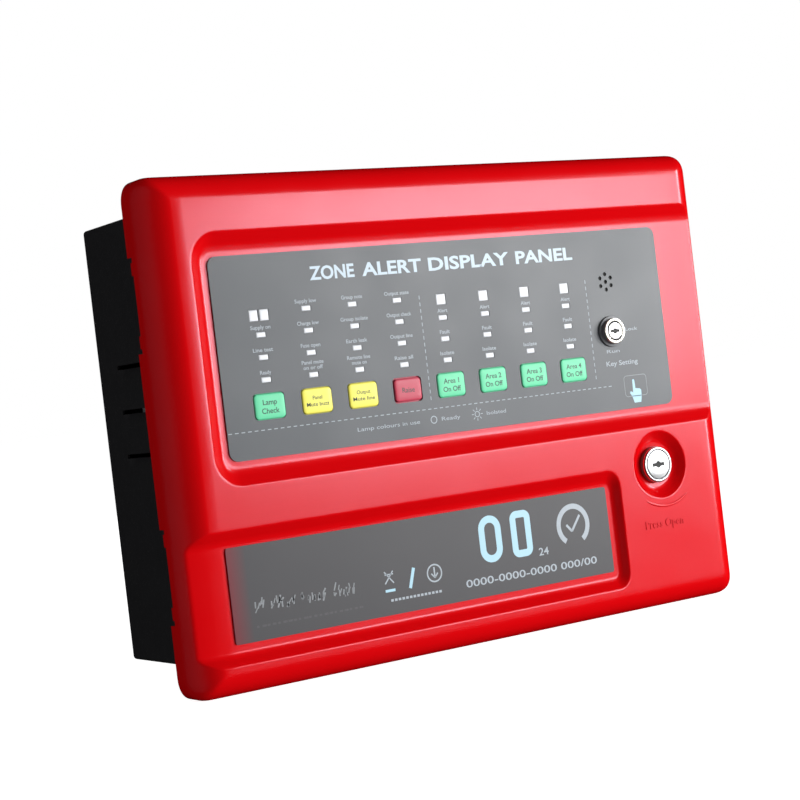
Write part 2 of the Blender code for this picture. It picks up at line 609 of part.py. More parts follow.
def box_hinge(name, middle):
    """A steel hook over the box's rim with a knuckle round the pin."""
    z = (middle - KNUCKLE_HALF, middle + KNUCKLE_HALF)
    knuckle = [(KNUCKLE_R, z[0]), (KNUCKLE_R, z[1]), (PIN_R + GAP, z[1]), (PIN_R + GAP, z[0])]
    hinge = turned(name, (HINGE_X, HINGE_Y), knuckle, "zinc_steel", closed=True, axis="Z", count=20)
    inside = -BOX_W / 2 + SHEET + GAP
    over = BOX_RIM - GAP
    path = [(HINGE_X + KNUCKLE_R - 0.4 * MM, HINGE_Y + 0.8 * MM), (HINGE_X + KNUCKLE_R - 0.4 * MM, over - 0.6 * MM),
            (inside + 0.6 * MM, over - 0.6 * MM), (inside + 0.6 * MM, BOX_RIM + 20 * MM)]
    join(hinge, prism("leaf", band_outline(path, SHEET), z, "zinc_steel"))
    return hinge


def hinge_pin(name, middle):
    half = KNUCKLE_HALF + 0.4 * MM + LUG_LONG
    profile = [(PIN_R, middle - half), (PIN_R, middle + half - 0.5 * MM), (PIN_R * 0.7, middle + half)]
    return turned(name, (HINGE_X, HINGE_Y), profile, "zinc_steel", axis="Z", count=16,
                  origin=(HINGE_X, HINGE_Y, middle))


def latch_keeper():
    """An angle on the box's right wall; the lock's cam turns in behind its tab."""
    wall = BOX_W / 2 - SHEET - GAP - 0.6 * MM
    tab = FRONT + CAM_DEPTH - 2.4 * MM
    path = [(wall, BOX_RIM + 26 * MM), (wall, tab), (155 * MM, tab)]
    return prism("latch_keeper", band_outline(path, SHEET), (LOCK[1] - 12 * MM, LOCK[1] + 12 * MM), "zinc_steel")


# Back box and what is fixed in it


def back_box():
    """A folded steel tray with louvers, cable entries and mounting holes."""
    w, h = BOX_W / 2, BOX_H / 2
    bm = bmesh.new()
    bend = BOX_BEND
    rings = [(BOX_RIM, 0), (-bend, 0), (-bend * 0.29, bend * 0.29), (0, bend)]
    loops = []
    for y, inset in rings:
        outline = rounded_outline(-w + inset, w - inset, -h + inset, h - inset, 2 * MM, 2)
        loops.append([bm.verts.new((px, y, pz)) for px, pz in outline])
    count = len(loops[0])
    for low, high in zip(loops, loops[1:]):
        for i in range(count):
            j = (i + 1) % count
            bm.faces.new((low[i], low[j], high[j], high[i]))
    bm.faces.new(loops[-1])
    tray = finish("back_box", bm, "black_steel")
    thick = tray.modifiers.new("sheet", "SOLIDIFY")
    thick.thickness = SHEET
    thick.offset = -1
    thick.use_even_offset = True
    evaluated_mesh(tray)
    for side in (-1, 1):
        for top in LOUVER_TOPS:
            x = sorted((side * (w + MM), side * (w - 3 * MM)))
            cut(tray, block("slit", x, LOUVER_SPAN, (top - LOUVER_SLIT, top), "black_steel"))
        entry = [(10.3 * MM, h - 4 * MM), (10.3 * MM, h + 2 * MM)]
        cut(tray, turned("entry", (side * 60 * MM, -35 * MM), entry, "black_steel", axis="Z"))
        for z in (-100 * MM, 100 * MM):
            hole = [(3 * MM, -4 * MM), (3 * MM, 2 * MM)]
            cut(tray, turned("hole", (side * 158 * MM, z), hole, "black_steel", count=16))
    rear_entry = block("rear_entry", (-25 * MM, 25 * MM), (-5 * MM, 3 * MM), (80 * MM, 100 * MM), "black_steel", 4 * MM)
    cut(tray, rear_entry)
    return tray


def cable_grommet(number, x):
    top = BOX_H / 2
    inner, outer = top - SHEET - GAP, top + GAP
    profile = [(6.5 * MM, inner - 2 * MM), (12.5 * MM, inner - 2 * MM), (13 * MM, inner), (10 * MM, inner)]
    profile += [(10 * MM, outer), (13 * MM, outer), (12 * MM, outer + 1.8 * MM), (6.5 * MM, outer + 1.8 * MM)]
    return turned(f"cable_grommet_{number}", (x, -35 * MM), profile, "rubber", closed=True, axis="Z")


def board_standoff(number, x, z):
    """A snap-in nylon post: base on the back plate, barbed tip in front of the board."""
    profile = [(3.5 * MM, FLOOR_Y), (3.5 * MM, MAIN_Y + GAP), (1.7 * MM, MAIN_Y + GAP), (1.7 * MM, MAIN_FRONT)]
    profile += [(2.6 * MM, MAIN_FRONT), (1.2 * MM, MAIN_FRONT - 3 * MM)]
    return turned(f"board_standoff_{number}", (x, z), profile, "nylon", count=14)


def main_board():
    left, right, bottom, top = MAIN_BOX
    holes = [circle_outline(x, z, 2 * MM, 12) for x, z in MAIN_POSTS]
    outline = rounded_outline(left, right, bottom, top, 0)
    return plate("main_board", outline, holes, (MAIN_Y - BOARD_THICK, MAIN_Y), "circuit_board")


def terminal_block(name, x, z, y, slot):
    """A row of screw terminals: low lip where the wires enter, taller body behind it."""
    (x0, x1), (z0, z1), (base, tall) = x, z, y
    step = z0 + (z1 - z0) * 0.6
    low = base + (tall - base) * 0.7
    outline = [(base, z0), (tall, z0), (tall, step), (low, z1), (base, z1)]
    rings = [[Vector((px, py, pz)) for py, pz in outline] for px in (x0, x1)]
    return finish(name, loft(rings), slot)


def board_parts():
    """What stands on the main board."""
    front = MAIN_FRONT
    terminal_block("zone_terminals", (-100 * MM, 20 * MM), (56 * MM, 69 * MM), (front, -26 * MM), "green_plastic")
    terminal_block("sounder_terminals", (30 * MM, 115 * MM), (56 * MM, 69 * MM), (front, -26 * MM), "green_plastic")
    block("fuse_holder", (60 * MM, 90 * MM), (front, -24 * MM), (22 * MM, 33 * MM), "black_plastic", 1.5 * MM)
    block("relay_alarm", (-20 * MM, 0), (front, -27 * MM), (14 * MM, 30 * MM), "black_plastic", 0.6 * MM)
    block("relay_fault", (8 * MM, 28 * MM), (front, -27 * MM), (14 * MM, 30 * MM), "black_plastic", 0.6 * MM)
    block("processor_chip", (-74 * MM, -34 * MM), (front, -15.8 * MM), (2 * MM, 16 * MM), "black_plastic")
    x = (RIBBON_MAIN_X - 4 * MM, RIBBON_MAIN_X + 4 * MM)
    block("main_ribbon_socket", x, (RIBBON_MAIN_Y + 0.4 * MM, front), SOCKET_SPAN, "black_plastic")
    can = [(9 * MM, front), (9 * MM, -37 * MM), (8.2 * MM, -38 * MM)]
    turned("smoothing_capacitor", (98 * MM, 2 * MM), can, "black_plastic", count=24)


def power_supply():
    """Transformer, mains terminals and earth stud on the back plate."""
    cx, cz = 126 * MM, -88 * MM
    outline = rounded_outline(cx - 27 * MM, cx + 27 * MM, cz - 22.5 * MM, cz + 22.5 * MM, 0)
    holes = [rounded_outline(cx + side * 13.5 * MM - 4.5 * MM, cx + side * 13.5 * MM + 4.5 * MM,
                             cz - 13.5 * MM, cz + 13.5 * MM, 0) for side in (-1, 1)]
    plate("transformer_core", outline, holes, (-33 * MM, -13 * MM), "laminated_iron")
    outline = rounded_outline(cx - 17.6 * MM, cx + 17.6 * MM, -44 * MM, FLOOR_Y, 4 * MM)
    hole = rounded_outline(cx - 9.3 * MM, cx + 9.3 * MM, -33.3 * MM, -12.7 * MM, 0)
    plate("transformer_coil", outline, [hole], (cz - 13 * MM, cz + 13 * MM), "winding_tape", axis="Z")
    terminal_block("mains_terminals", (112 * MM, 150 * MM), (-60 * MM, -46 * MM), (FLOOR_Y, -18 * MM), "nylon")
    stud = [(5 * MM, FLOOR_Y), (5 * MM, -4 * MM), (2.5 * MM, -4 * MM), (2.5 * MM, -16 * MM), (2 * MM, -17 * MM)]
    turned("earth_stud", (152 * MM, -20 * MM), stud, "zinc_steel", count=18)


def batteries():
    z = (-114 * MM, -56 * MM)
    y = (FLOOR_Y, -44.5 * MM)
    block("battery_left", (-120 * MM, -23 * MM), y, z, "battery_grey", 2 * MM)
    block("battery_right", (-19 * MM, 78 * MM), y, z, "battery_grey", 2 * MM)
    foot = FLOOR_Y - 0.6 * MM
    path = [(-134, foot / MM), (-121.2, foot / MM), (-121.2, -45.6), (79.2, -45.6), (79.2, foot / MM), (92, foot / MM)]
    outline = band_outline([(x * MM, y * MM) for x, y in path], SHEET)
    prism("battery_strap", outline, (-93 * MM, -79 * MM), "zinc_steel")


def ribbon_cable():
    """The flat cable between the boards, with slack along the left wall that the open cover draws on."""
    bends = [(-108, -29), (-115, -36), (-127, -34), (-137, -26), (-149, -22), (-160, -28), (-163, -42), (-162, -57),
             (-157, -69), (-147, -75), (-136, -74.5), (-127, -74.5)]
    knots = [(RIBBON_MAIN_X, RIBBON_MAIN_Y)] + [(x * MM, y * MM) for x, y in bends]
    knots.append((RIBBON_DISPLAY_X, RIBBON_DISPLAY_Y))
    return prism("ribbon_cable", band_outline(smooth_path(knots, 3), RIBBON_THICK), RIBBON_SPAN, "ribbon_grey")


def pivots():
    """Empties on the joint axes; each moving piece is a child of its own."""
    places = {"cover_pivot": Vector((HINGE_X, HINGE_Y, 0)), "lock_pivot": at(LOCK[0], LOCK_FACE, LOCK[1]),
              "keyswitch_pivot": at(KEYSWITCH[0], 0, KEYSWITCH[1])}
    for name, place in places.items():
        empty = bpy.data.objects.new(name, None)
        empty.location = place
        bpy.context.scene.collection.objects.link(empty)
    bpy.context.view_layer.update()


def hang(names, pivot):
    parent = bpy.data.objects[pivot]
    for name in names:
        child = bpy.data.objects[name]
        child.parent = parent
        child.matrix_parent_inverse = parent.matrix_world.inverted()


def main():
    clear_scene()
    back_box()
    for number, x in enumerate((-60 * MM, 60 * MM), 1):
        cable_grommet(number, x)
    for number, (x, z) in enumerate(MAIN_POSTS, 1):
        board_standoff(number, x, z)
    main_board()
    board_parts()
    power_supply()
    batteries()
    ribbon_cable()
    latch_keeper()
    for name, middle in (("upper", HINGE_Z), ("lower", -HINGE_Z)):
        box_hinge("box_hinge_" + name, middle)
        hinge_pin("hinge_pin_" + name, middle)
    front_cover()
    status_overlay()
    lower_overlay()
    light_guide()
    display_board()
    for number, (x, z) in enumerate(DISPLAY_POSTS, 1):
        board_screw(number, x, z)
    buzzer()
    display_socket()
    for column in range(COLUMNS):
        push_key(column)
    cam_lock()
    key_switch()
    pivots()
    keys = ["key_" + name for name in KEY_NAMES]
    fixed = ["front_cover", "status_overlay", "lower_overlay", "led_light_guide", "display_board", "buzzer",
             "display_ribbon_socket", "lock_body", "lock_nut", "keyswitch_body", "keyswitch_nut",
             "hinge_pin_upper", "hinge_pin_lower"] + [f"board_screw_{number}" for number in range(1, 5)]
    hang(fixed + keys + ["lock_pivot", "keyswitch_pivot"], "cover_pivot")
    bpy.context.view_layer.update()
    hang(["lock_plug", "lock_cam", "lock_cam_nut"], "lock_pivot")
    hang(["keyswitch_plug"], "keyswitch_pivot")


main()
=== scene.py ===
"""The looks of the four-zone alarm panel: fine surfaces, materials, lettering, camera and studio,
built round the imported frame. Row frame in metres: +Z up, the front faces -Y."""

import json
import math
import random

import bmesh
import bpy
import numpy as np
from mathutils import Matrix, Vector


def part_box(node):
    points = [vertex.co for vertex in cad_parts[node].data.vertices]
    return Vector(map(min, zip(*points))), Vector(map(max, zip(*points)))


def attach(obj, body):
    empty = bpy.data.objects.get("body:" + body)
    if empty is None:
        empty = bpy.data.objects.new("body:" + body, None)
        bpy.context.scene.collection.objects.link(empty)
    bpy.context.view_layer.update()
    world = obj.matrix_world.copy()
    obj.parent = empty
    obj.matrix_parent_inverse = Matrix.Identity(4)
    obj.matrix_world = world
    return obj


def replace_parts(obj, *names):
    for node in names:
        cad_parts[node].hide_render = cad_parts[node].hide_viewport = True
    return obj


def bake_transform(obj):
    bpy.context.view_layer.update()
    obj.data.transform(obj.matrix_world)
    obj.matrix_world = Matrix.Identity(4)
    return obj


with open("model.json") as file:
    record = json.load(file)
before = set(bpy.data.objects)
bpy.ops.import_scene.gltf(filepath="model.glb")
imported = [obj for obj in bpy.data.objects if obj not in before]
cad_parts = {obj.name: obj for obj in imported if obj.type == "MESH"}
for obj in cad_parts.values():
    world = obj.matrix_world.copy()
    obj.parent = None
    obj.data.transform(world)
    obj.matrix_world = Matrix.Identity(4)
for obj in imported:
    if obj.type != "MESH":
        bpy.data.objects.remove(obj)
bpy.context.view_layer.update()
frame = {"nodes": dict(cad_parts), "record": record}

MM = 0.001

# The cover's surface, from the same dimensions as the CAD's
COVER_LOW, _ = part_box("front_cover")
FRONT = -101 * MM
HALF_W, HALF_H = 183 * MM, 133 * MM
COVER_DEEP, COVER_WALL = 22.2 * MM, 2.5 * MM
LEFT_BAND = (17 * MM, 16 * MM, 1.5)
EDGE_BAND = (13 * MM, 11 * MM, 1.85)
RECESS_DEEP = 4.6 * MM
FAR = 300 * MM
# Floor edges (left, right, bottom, top), width of the sloping wall on x, bottom and top, floor corner
UPPER_RECESS = (-149.5 * MM, FAR, -17.6 * MM, 92 * MM, 9.8 * MM, 10.4 * MM, 11.3 * MM, 6 * MM)
LOWER_RECESS = (-FAR, 94.5 * MM, -110.6 * MM, -58 * MM, 6.1 * MM, 7.4 * MM, 9.4 * MM, 3 * MM)
FILLET_SHARE = 0.5  # of a wall's width, taken by the fillet at its foot
CREST_FILLET, MEETING_FILLET = 1.1 * MM, 0.9 * MM
LEFT_CORNER, RIGHT_CORNER = (5, 2.2), (2.8, 2.8)  # how square the outline's corners are across x and z
RUN_OUT_X, RUN_OUT_BEND = -156 * MM, 5  # where the lower floor starts to bend back, and how fast, per metre
LINE_GAP = 0.5 * MM

OVERLAY_FACE = FRONT + 3.7 * MM
OVERLAY_BACK = FRONT + 4.3 * MM
STATUS_BOX = (-147.9 * MM, 150.3 * MM, -15.2 * MM, 90.2 * MM)
LOWER_BOX = (-156.9 * MM, 91.3 * MM, -107.4 * MM, -58 * MM)
INK_FACE = OVERLAY_FACE - 0.03 * MM

COLUMNS, FIRST_COLUMN, COLUMN_PITCH = 8, -121.6 * MM, 28.6 * MM
ROWS, TOP_ROW, ROW_PITCH = 4, 60 * MM, 11.7 * MM
BIG_ROW = 58.4 * MM
SMALL_WINDOW, BIG_WINDOW = (5.8 * MM, 2.9 * MM), (6.4 * MM, 6 * MM)
TWIN_WINDOW, TWIN_OFFSET = (5.4 * MM, 6 * MM), 3.15 * MM
KEY_Z, KEY_W, KEY_H, KEY_CORNER = 11.2 * MM, 18 * MM, 13.2 * MM, 2.2 * MM
KEY_NAMES = ("reset", "panel_silence", "sounder_silence", "evacuate", "zone_1", "zone_2", "zone_3", "zone_4")
KEY_SLOTS = ("green_key", "yellow_key", "yellow_key", "red_key", "green_key", "green_key", "green_key",
             "green_key")
WINDOW_CUT = (-134 * MM, 93 * MM, 2 * MM, 65.5 * MM)

SPEAKER = (109.7 * MM, 60 * MM)
KEYSWITCH = (109.3 * MM, 30.9 * MM)
LOCK = (131.5 * MM, -49.9 * MM)
DISH_R, DISH_DEEP, DISH_FLOOR_R = 20.35 * MM, 5.2 * MM, 12.5 * MM
LOCK_FACE = FRONT + 1.3 * MM

HINGE_X, HINGE_Y, HINGE_Z = -177 * MM, -82 * MM, 69.3 * MM
NOTCH_LONG, NOTCH_DEEP = 49 * MM, 4.8 * MM

BOX_W, BOX_H, BOX_RIM = 342 * MM, 235 * MM, -86 * MM
SHEET = 1.2 * MM
LOUVER_TOPS = (41.8 * MM, 17.9 * MM, -5.8 * MM)
LOUVER_SPAN, LOUVER_SLIT, LOUVER_PRESS = (-67 * MM, -25 * MM), 2.2 * MM, 7 * MM


# Mesh helpers


def piece(name, bm, look, body, angle=35):
    """The bmesh as a shaded object that rides on a CAD body."""
    mesh = bpy.data.meshes.new(name)
    bm.to_mesh(mesh)
    bm.free()
    return mesh_piece(name, mesh, look, body, angle)


def mesh_piece(name, mesh, look, body, angle=35):
    mesh.shade_smooth()
    mesh.set_sharp_from_angle(angle=math.radians(angle))
    mesh.materials.clear()
    mesh.materials.append(look)
    obj = bpy.data.objects.new(name, mesh)
    bpy.context.scene.collection.objects.link(obj)
    if body:
        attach(obj, body)
    return obj


def loft(rings, closed=False, caps=True, bm=None):
    """Skins rings of points of one count into the bmesh."""
    bm = bm or bmesh.new()
    loops = [[bm.verts.new(point) for point in ring] for ring in rings]
    count = len(loops[0])
    pairs = list(zip(loops, loops[1:]))
    if closed:
        pairs.append((loops[-1], loops[0]))
    for low, high in pairs:
        for i in range(count):
            j = (i + 1) % count
            bm.faces.new((low[i], low[j], high[j], high[i]))
    if caps and not closed:
        bm.faces.new(loops[0])
        bm.faces.new(loops[-1])
    return bm


def outward(bm):
    bmesh.ops.recalc_face_normals(bm, faces=bm.faces)
    return bm


def rounded(x0, x1, z0, z1, corner, steps=8):
    """A rectangle's outline with arcs at its corners."""
    if corner <= 0:
        return [(x0, z0), (x1, z0), (x1, z1), (x0, z1)]
    centres = ((x1 - corner, z0 + corner), (x1 - corner, z1 - corner), (x0 + corner, z1 - corner),
               (x0 + corner, z0 + corner))
    points = []
    for quarter, (cx, cz) in enumerate(centres):
        for i in range(steps + 1):
            angle = math.radians(-90 + 90 * quarter + 90 * i / steps)
            points.append((cx + corner * math.cos(angle), cz + corner * math.sin(angle)))
    return points


def circle(cx, cz, radius, count=32, start=0.0):
    turn = 2 * math.pi / count
    return [(cx + radius * math.cos(start + i * turn), cz + radius * math.sin(start + i * turn))
            for i in range(count)]


def place(axis, a, b, along):
    """A point from two coordinates across the axis and one along it."""
    return Vector({"Y": (a, along, b), "Z": (a, b, along), "X": (along, a, b)}[axis])


def lathe(centre, profile, count=64, axis="Y", closed=False, bm=None):
    """A solid of revolution: profile holds (radius, place along the axis)."""
    rings = [[place(axis, a, b, along) for a, b in circle(*centre, radius, count)] for radius,
             along in profile]
    return loft(rings, closed, bm=bm)


def box(x, y, z, corner=0.0, axis="Y", bm=None, steps=4):
    """A block between two limits on each axis, rounded on the four edges along the axis."""
    flat = {"Y": (x, z, y), "Z": (x, y, z), "X": (y, z, x)}[axis]
    outline = rounded(*flat[0], *flat[1], corner, steps)
    return loft([[place(axis, a, b, along) for a, b in outline] for along in flat[2]], bm=bm)


def filled(outline, holes, along, axis="Y", bm=None):
    """A flat sheet with holes, extruded between two places along the axis."""
    curve = bpy.data.curves.new("sheet", "CURVE")
    curve.dimensions = "2D"
    curve.fill_mode = "BOTH"
    curve.extrude = abs(along[1] - along[0]) / 2
    for loop in (outline, *holes):
        spline = curve.splines.new("POLY")
        spline.points.add(len(loop) - 1)
        spline.use_cyclic_u = True
        for point, (a, b) in zip(spline.points, loop):
            point.co = (a, b, 0, 1)
    middle = (along[0] + along[1]) / 2
    return drawn(curve, lambda a, b, c: place(axis, a, b, middle + c), bm)


def drawn(curve, put, bm=None):
    """The mesh that Blender makes of a curve or a text, its points moved by put, added to the bmesh."""
    obj = bpy.data.objects.new("drawn", curve)
    bpy.context.scene.collection.objects.link(obj)
    bpy.context.view_layer.update()
    mesh = bpy.data.meshes.new_from_object(obj.evaluated_get(bpy.context.evaluated_depsgraph_get()))
    bpy.data.objects.remove(obj, do_unlink=True)
    bpy.data.curves.remove(curve)
    for vert in mesh.vertices:
        vert.co = put(*vert.co)
    bm = bm or bmesh.new()
    bm.from_mesh(mesh)
    bpy.data.meshes.remove(mesh)
    bmesh.ops.remove_doubles(bm, verts=bm.verts, dist=0.001 * MM)
    return outward(bm)


def bevel(obj, width, segments=2, angle=30):
    step = obj.modifiers.new("bevel", "BEVEL")
    step.width = width
    step.segments = segments
    step.limit_method = "ANGLE"
    step.angle_limit = math.radians(angle)
    step.harden_normals = False
    return obj


def applied(obj):
    """The object with its modifiers made part of its mesh."""
    bpy.context.view_layer.update()
    graph = bpy.context.evaluated_depsgraph_get()
    made = bpy.data.meshes.new_from_object(obj.evaluated_get(graph))
    obj.modifiers.clear()
    obj.data = made
    return obj


def cut(obj, bm):
    """Cuts the closed shapes of the bmesh out of the object."""
    mesh = bpy.data.meshes.new("cutter")
    outward(bm).to_mesh(mesh)
    bm.free()
    tool = bpy.data.objects.new("cutter", mesh)
    bpy.context.scene.collection.objects.link(tool)
    step = obj.modifiers.new("cut", "BOOLEAN")
    step.operation = "DIFFERENCE"
    step.solver = "EXACT"
    step.object = tool
    applied(obj)
    bpy.data.objects.remove(tool, do_unlink=True)
    bpy.data.meshes.remove(mesh)
    return obj


def add_shape(obj, bm, angle=35):
    """Adds the bmesh's faces to the object's mesh."""
    bm.from_mesh(obj.data)
    bm.to_mesh(obj.data)
    bm.free()
    obj.data.shade_smooth()
    obj.data.set_sharp_from_angle(angle=math.radians(angle))
    return obj


# Materials


def look(name, colour, roughness, metallic=0.0, shade=0.9, mottle=60, spread=0.05, grain=900, relief=0.02,
         coat=0.0, stretch=(1, 1, 1), clear=0.0, gleam=(1, 1, 1)):
    """A Principled material with noise in its colour and roughness and a fine bump.

    shade is how dark the darker mottling is against the colour; grain is the bump's scale per metre and relief
    its strength; stretch draws the noise out along an axis, as brushing does; gleam tints the reflections."""
    made = bpy.data.materials.new(name)
    made.use_nodes = True
    nodes, links = made.node_tree.nodes, made.node_tree.links
    shader = nodes["Principled BSDF"]
    shader.inputs["Metallic"].default_value = metallic
    shader.inputs["Specular Tint"].default_value = (*gleam, 1)
    shader.inputs["Coat Weight"].default_value = coat
    shader.inputs["Coat Roughness"].default_value = 0.06
    shader.inputs["Transmission Weight"].default_value = clear
    where = nodes.new("ShaderNodeTexCoord")
    drawn_out = nodes.new("ShaderNodeMapping")
    drawn_out.inputs["Scale"].default_value = stretch
    links.new(where.outputs["Object"], drawn_out.inputs["Vector"])

    def noise(scale, detail):
        node = nodes.new("ShaderNodeTexNoise")
        node.inputs["Scale"].default_value = scale
        node.inputs["Detail"].default_value = detail
        links.new(drawn_out.outputs["Vector"], node.inputs["Vector"])
        return node.outputs["Fac"]

    tones = nodes.new("ShaderNodeMix")
    tones.data_type = "RGBA"
    tones.inputs["A"].default_value = (*[c * shade for c in colour], 1)
    tones.inputs["B"].default_value = (*colour, 1)
    links.new(noise(mottle, 4), tones.inputs["Factor"])
    links.new(tones.outputs["Result"], shader.inputs["Base Color"])
    gloss = nodes.new("ShaderNodeMapRange")
    gloss.inputs["From Min"].default_value = 0.3
    gloss.inputs["From Max"].default_value = 0.7
    gloss.inputs["To Min"].default_value = max(0.02, roughness - spread)
    gloss.inputs["To Max"].default_value = roughness + spread
    links.new(noise(mottle * 2.3, 3), gloss.inputs["Value"])
    links.new(gloss.outputs["Result"], shader.inputs["Roughness"])
    bump = nodes.new("ShaderNodeBump")
    bump.inputs["Strength"].default_value = relief
    bump.inputs["Distance"].default_value = 0.0005
    links.new(noise(grain, 3), bump.inputs["Height"])
    links.new(bump.outputs["Normal"], shader.inputs["Normal"])
    return made


def striped(made, colour, axis, period, width=0.5, relief=0.0):
    """Paints stripes across the axis, one every period metres, over the material's own colour."""
    nodes, links = made.node_tree.nodes, made.node_tree.links
    shader = nodes["Principled BSDF"]
    base = shader.inputs["Base Color"].links[0].from_socket
    where = nodes.new("ShaderNodeTexCoord")
    split = nodes.new("ShaderNodeSeparateXYZ")
    links.new(where.outputs["Object"], split.inputs["Vector"])
    turn = nodes.new("ShaderNodeMath")
    turn.operation = "PINGPONG"
    turn.inputs[1].default_value = period / 2
    links.new(split.outputs[axis], turn.inputs[0])
    step = nodes.new("ShaderNodeMapRange")
    step.inputs["From Min"].default_value = period / 2 * (width - 0.08)
    step.inputs["From Max"].default_value = period / 2 * (width + 0.08)
    links.new(turn.outputs["Value"], step.inputs["Value"])
    mix = nodes.new("ShaderNodeMix")
    mix.data_type = "RGBA"
    mix.inputs["A"].default_value = (*colour, 1)
    links.new(step.outputs["Result"], mix.inputs["Factor"])
    links.new(base, mix.inputs["B"])
    links.new(mix.outputs["Result"], shader.inputs["Base Color"])
    if relief:
        bump = nodes.new("ShaderNodeBump")
        bump.inputs["Strength"].default_value = relief
        bump.inputs["Distance"].default_value = 0.0003
        links.new(step.outputs["Result"], bump.inputs["Height"])
        links.new(shader.inputs["Normal"].links[0].from_socket, bump.inputs["Normal"])
        links.new(bump.outputs["Normal"], shader.inputs["Normal"])
    return made


def painted_light_ramp(made, colour, start, end):
    """Tints the material's colour at start along X, fading to its own colour at end; used for painted light."""
    nodes, links = made.node_tree.nodes, made.node_tree.links
    shader = nodes["Principled BSDF"]
    base = shader.inputs["Base Color"].links[0].from_socket
    where = nodes.new("ShaderNodeTexCoord")
    split = nodes.new("ShaderNodeSeparateXYZ")
    links.new(where.outputs["Object"], split.inputs["Vector"])
    ramp = nodes.new("ShaderNodeMapRange")
    ramp.inputs["From Min"].default_value = start
    ramp.inputs["From Max"].default_value = end
    links.new(split.outputs["X"], ramp.inputs["Value"])
    mix = nodes.new("ShaderNodeMix")
    mix.data_type = "RGBA"
    mix.inputs["A"].default_value = (*colour, 1)
    links.new(ramp.outputs["Result"], mix.inputs["Factor"])
    links.new(base, mix.inputs["B"])
    links.new(mix.outputs["Result"], shader.inputs["Base Color"])
    return made


RED = look("moulded_red", (0.62, 0.0008, 0.0025), 0.21, shade=0.96, mottle=25, spread=0.015, grain=900,
           relief=0.003,
           gleam=(1, 0.84, 1))
BLACK_SHEET = look("powder_coat_black", (0.024, 0.024, 0.026), 0.5, shade=0.8, mottle=120, grain=1600,
                   relief=0.25)
ZINC = look("zinc_plate", (0.52, 0.53, 0.5), 0.34, 1.0, shade=0.85, mottle=90, spread=0.08, relief=0.03)
CHROME = look("chrome_plate", (0.82, 0.83, 0.85), 0.1, 1.0, shade=0.93, mottle=150, spread=0.03, relief=0.01)
BRUSHED = look("brushed_steel", (0.66, 0.67, 0.69), 0.26, 1.0, shade=0.85, mottle=40, spread=0.06, grain=300,
               relief=0.05, stretch=(1, 1, 12))
FILM = look("status_film", (0.078, 0.086, 0.095), 0.36, shade=0.95, mottle=12, spread=0.03, grain=1800,
            relief=0.03)
DARK_FILM = look("lower_film", (0.056, 0.055, 0.06), 0.4, shade=0.93, mottle=12, spread=0.03, grain=1800,
                 relief=0.03)
GREEN = look("green_cap", (0.13, 0.66, 0.36), 0.38, shade=0.93, mottle=120, spread=0.05, relief=0.04)
YELLOW = look("yellow_cap", (0.85, 0.8, 0.12), 0.38, shade=0.94, mottle=120, spread=0.05, relief=0.04)
RED_CAP = look("red_cap", (0.5, 0.05, 0.09), 0.38, shade=0.92, mottle=120, spread=0.05, relief=0.04)
LENS = look("frosted_lens", (0.78, 0.8, 0.84), 0.3, shade=0.95, mottle=300, spread=0.05, relief=0.05)
BRIGHT_INK = look("bright_ink", (0.54, 0.65, 0.74), 0.4, shade=0.95, mottle=500, relief=0.03)
INK = look("pale_ink", (0.4, 0.45, 0.5), 0.4, shade=0.85, mottle=500, relief=0.03)
FAINT_INK = look("worn_ink", (0.3, 0.32, 0.34), 0.45, shade=0.55, mottle=700, relief=0.03)
GHOST_INK = look("ghost_ink", (0.1, 0.1, 0.105), 0.45, shade=0.6, mottle=700, relief=0.03)
BLUE_INK = look("pale_blue_ink", (0.4, 0.64, 0.76), 0.4, shade=0.92, mottle=500, relief=0.03)
DARK_INK = look("dark_ink", (0.03, 0.05, 0.05), 0.45, shade=0.7, mottle=600, relief=0.03)
# Near-black, for the block set into each keyway: painted shade of the keyway's depth.
KEYWAY_SHADE = look("painted_keyway_shade", (0.01, 0.01, 0.011), 0.5, shade=0.7, mottle=400)
BRASSY = look("warm_nickel", (0.9, 0.86, 0.76), 0.32, 1.0, shade=0.94, mottle=150, spread=0.03, relief=0.01)
SATIN = look("satin_chrome", (0.93, 0.93, 0.95), 0.33, 1.0, shade=0.96, mottle=150, spread=0.03, relief=0.01)
DULL_CHROME = look("dull_chrome", (0.2, 0.205, 0.215), 0.42, 0.35, shade=0.85, mottle=90, spread=0.05,
                   relief=0.02)
BOARD = look("solder_mask_green", (0.012, 0.12, 0.045), 0.3, shade=0.75, mottle=180, spread=0.05, grain=600,
             relief=0.08, coat=0.3)
BLACK_PLASTIC = look("moulded_black", (0.022, 0.022, 0.024), 0.42, shade=0.8, mottle=200, relief=0.08)
GREEN_PLASTIC = look("terminal_green", (0.03, 0.27, 0.1), 0.42, shade=0.88, mottle=150, relief=0.05)
NYLON = look("white_nylon", (0.78, 0.77, 0.72), 0.42, shade=0.93, mottle=150, relief=0.05)
BATTERY = look("battery_case", (0.07, 0.072, 0.08), 0.5, shade=0.85, mottle=120, grain=1200, relief=0.15)
IRON = look("laminated_iron", (0.2, 0.2, 0.21), 0.5, 0.8, shade=0.7, mottle=150, spread=0.08, relief=0.1)
TAPE = look("winding_tape", (0.72, 0.52, 0.07), 0.36, shade=0.85, mottle=90, spread=0.06, relief=0.06)
RUBBER = look("rubber", (0.017, 0.017, 0.017), 0.68, shade=0.75, mottle=150, relief=0.12)
RIBBON = look("ribbon_grey", (0.42, 0.43, 0.45), 0.5, shade=0.92, mottle=150, relief=0.04)
SOLDER = look("tinned_metal", (0.6, 0.61, 0.62), 0.28, 1.0, shade=0.85, mottle=300, relief=0.05)
PALE = look("component_pale", (0.62, 0.55, 0.4), 0.5, shade=0.85, mottle=300, relief=0.04)
SLEEVE = look("capacitor_sleeve", (0.015, 0.03, 0.12), 0.35, shade=0.85, mottle=200, relief=0.03)
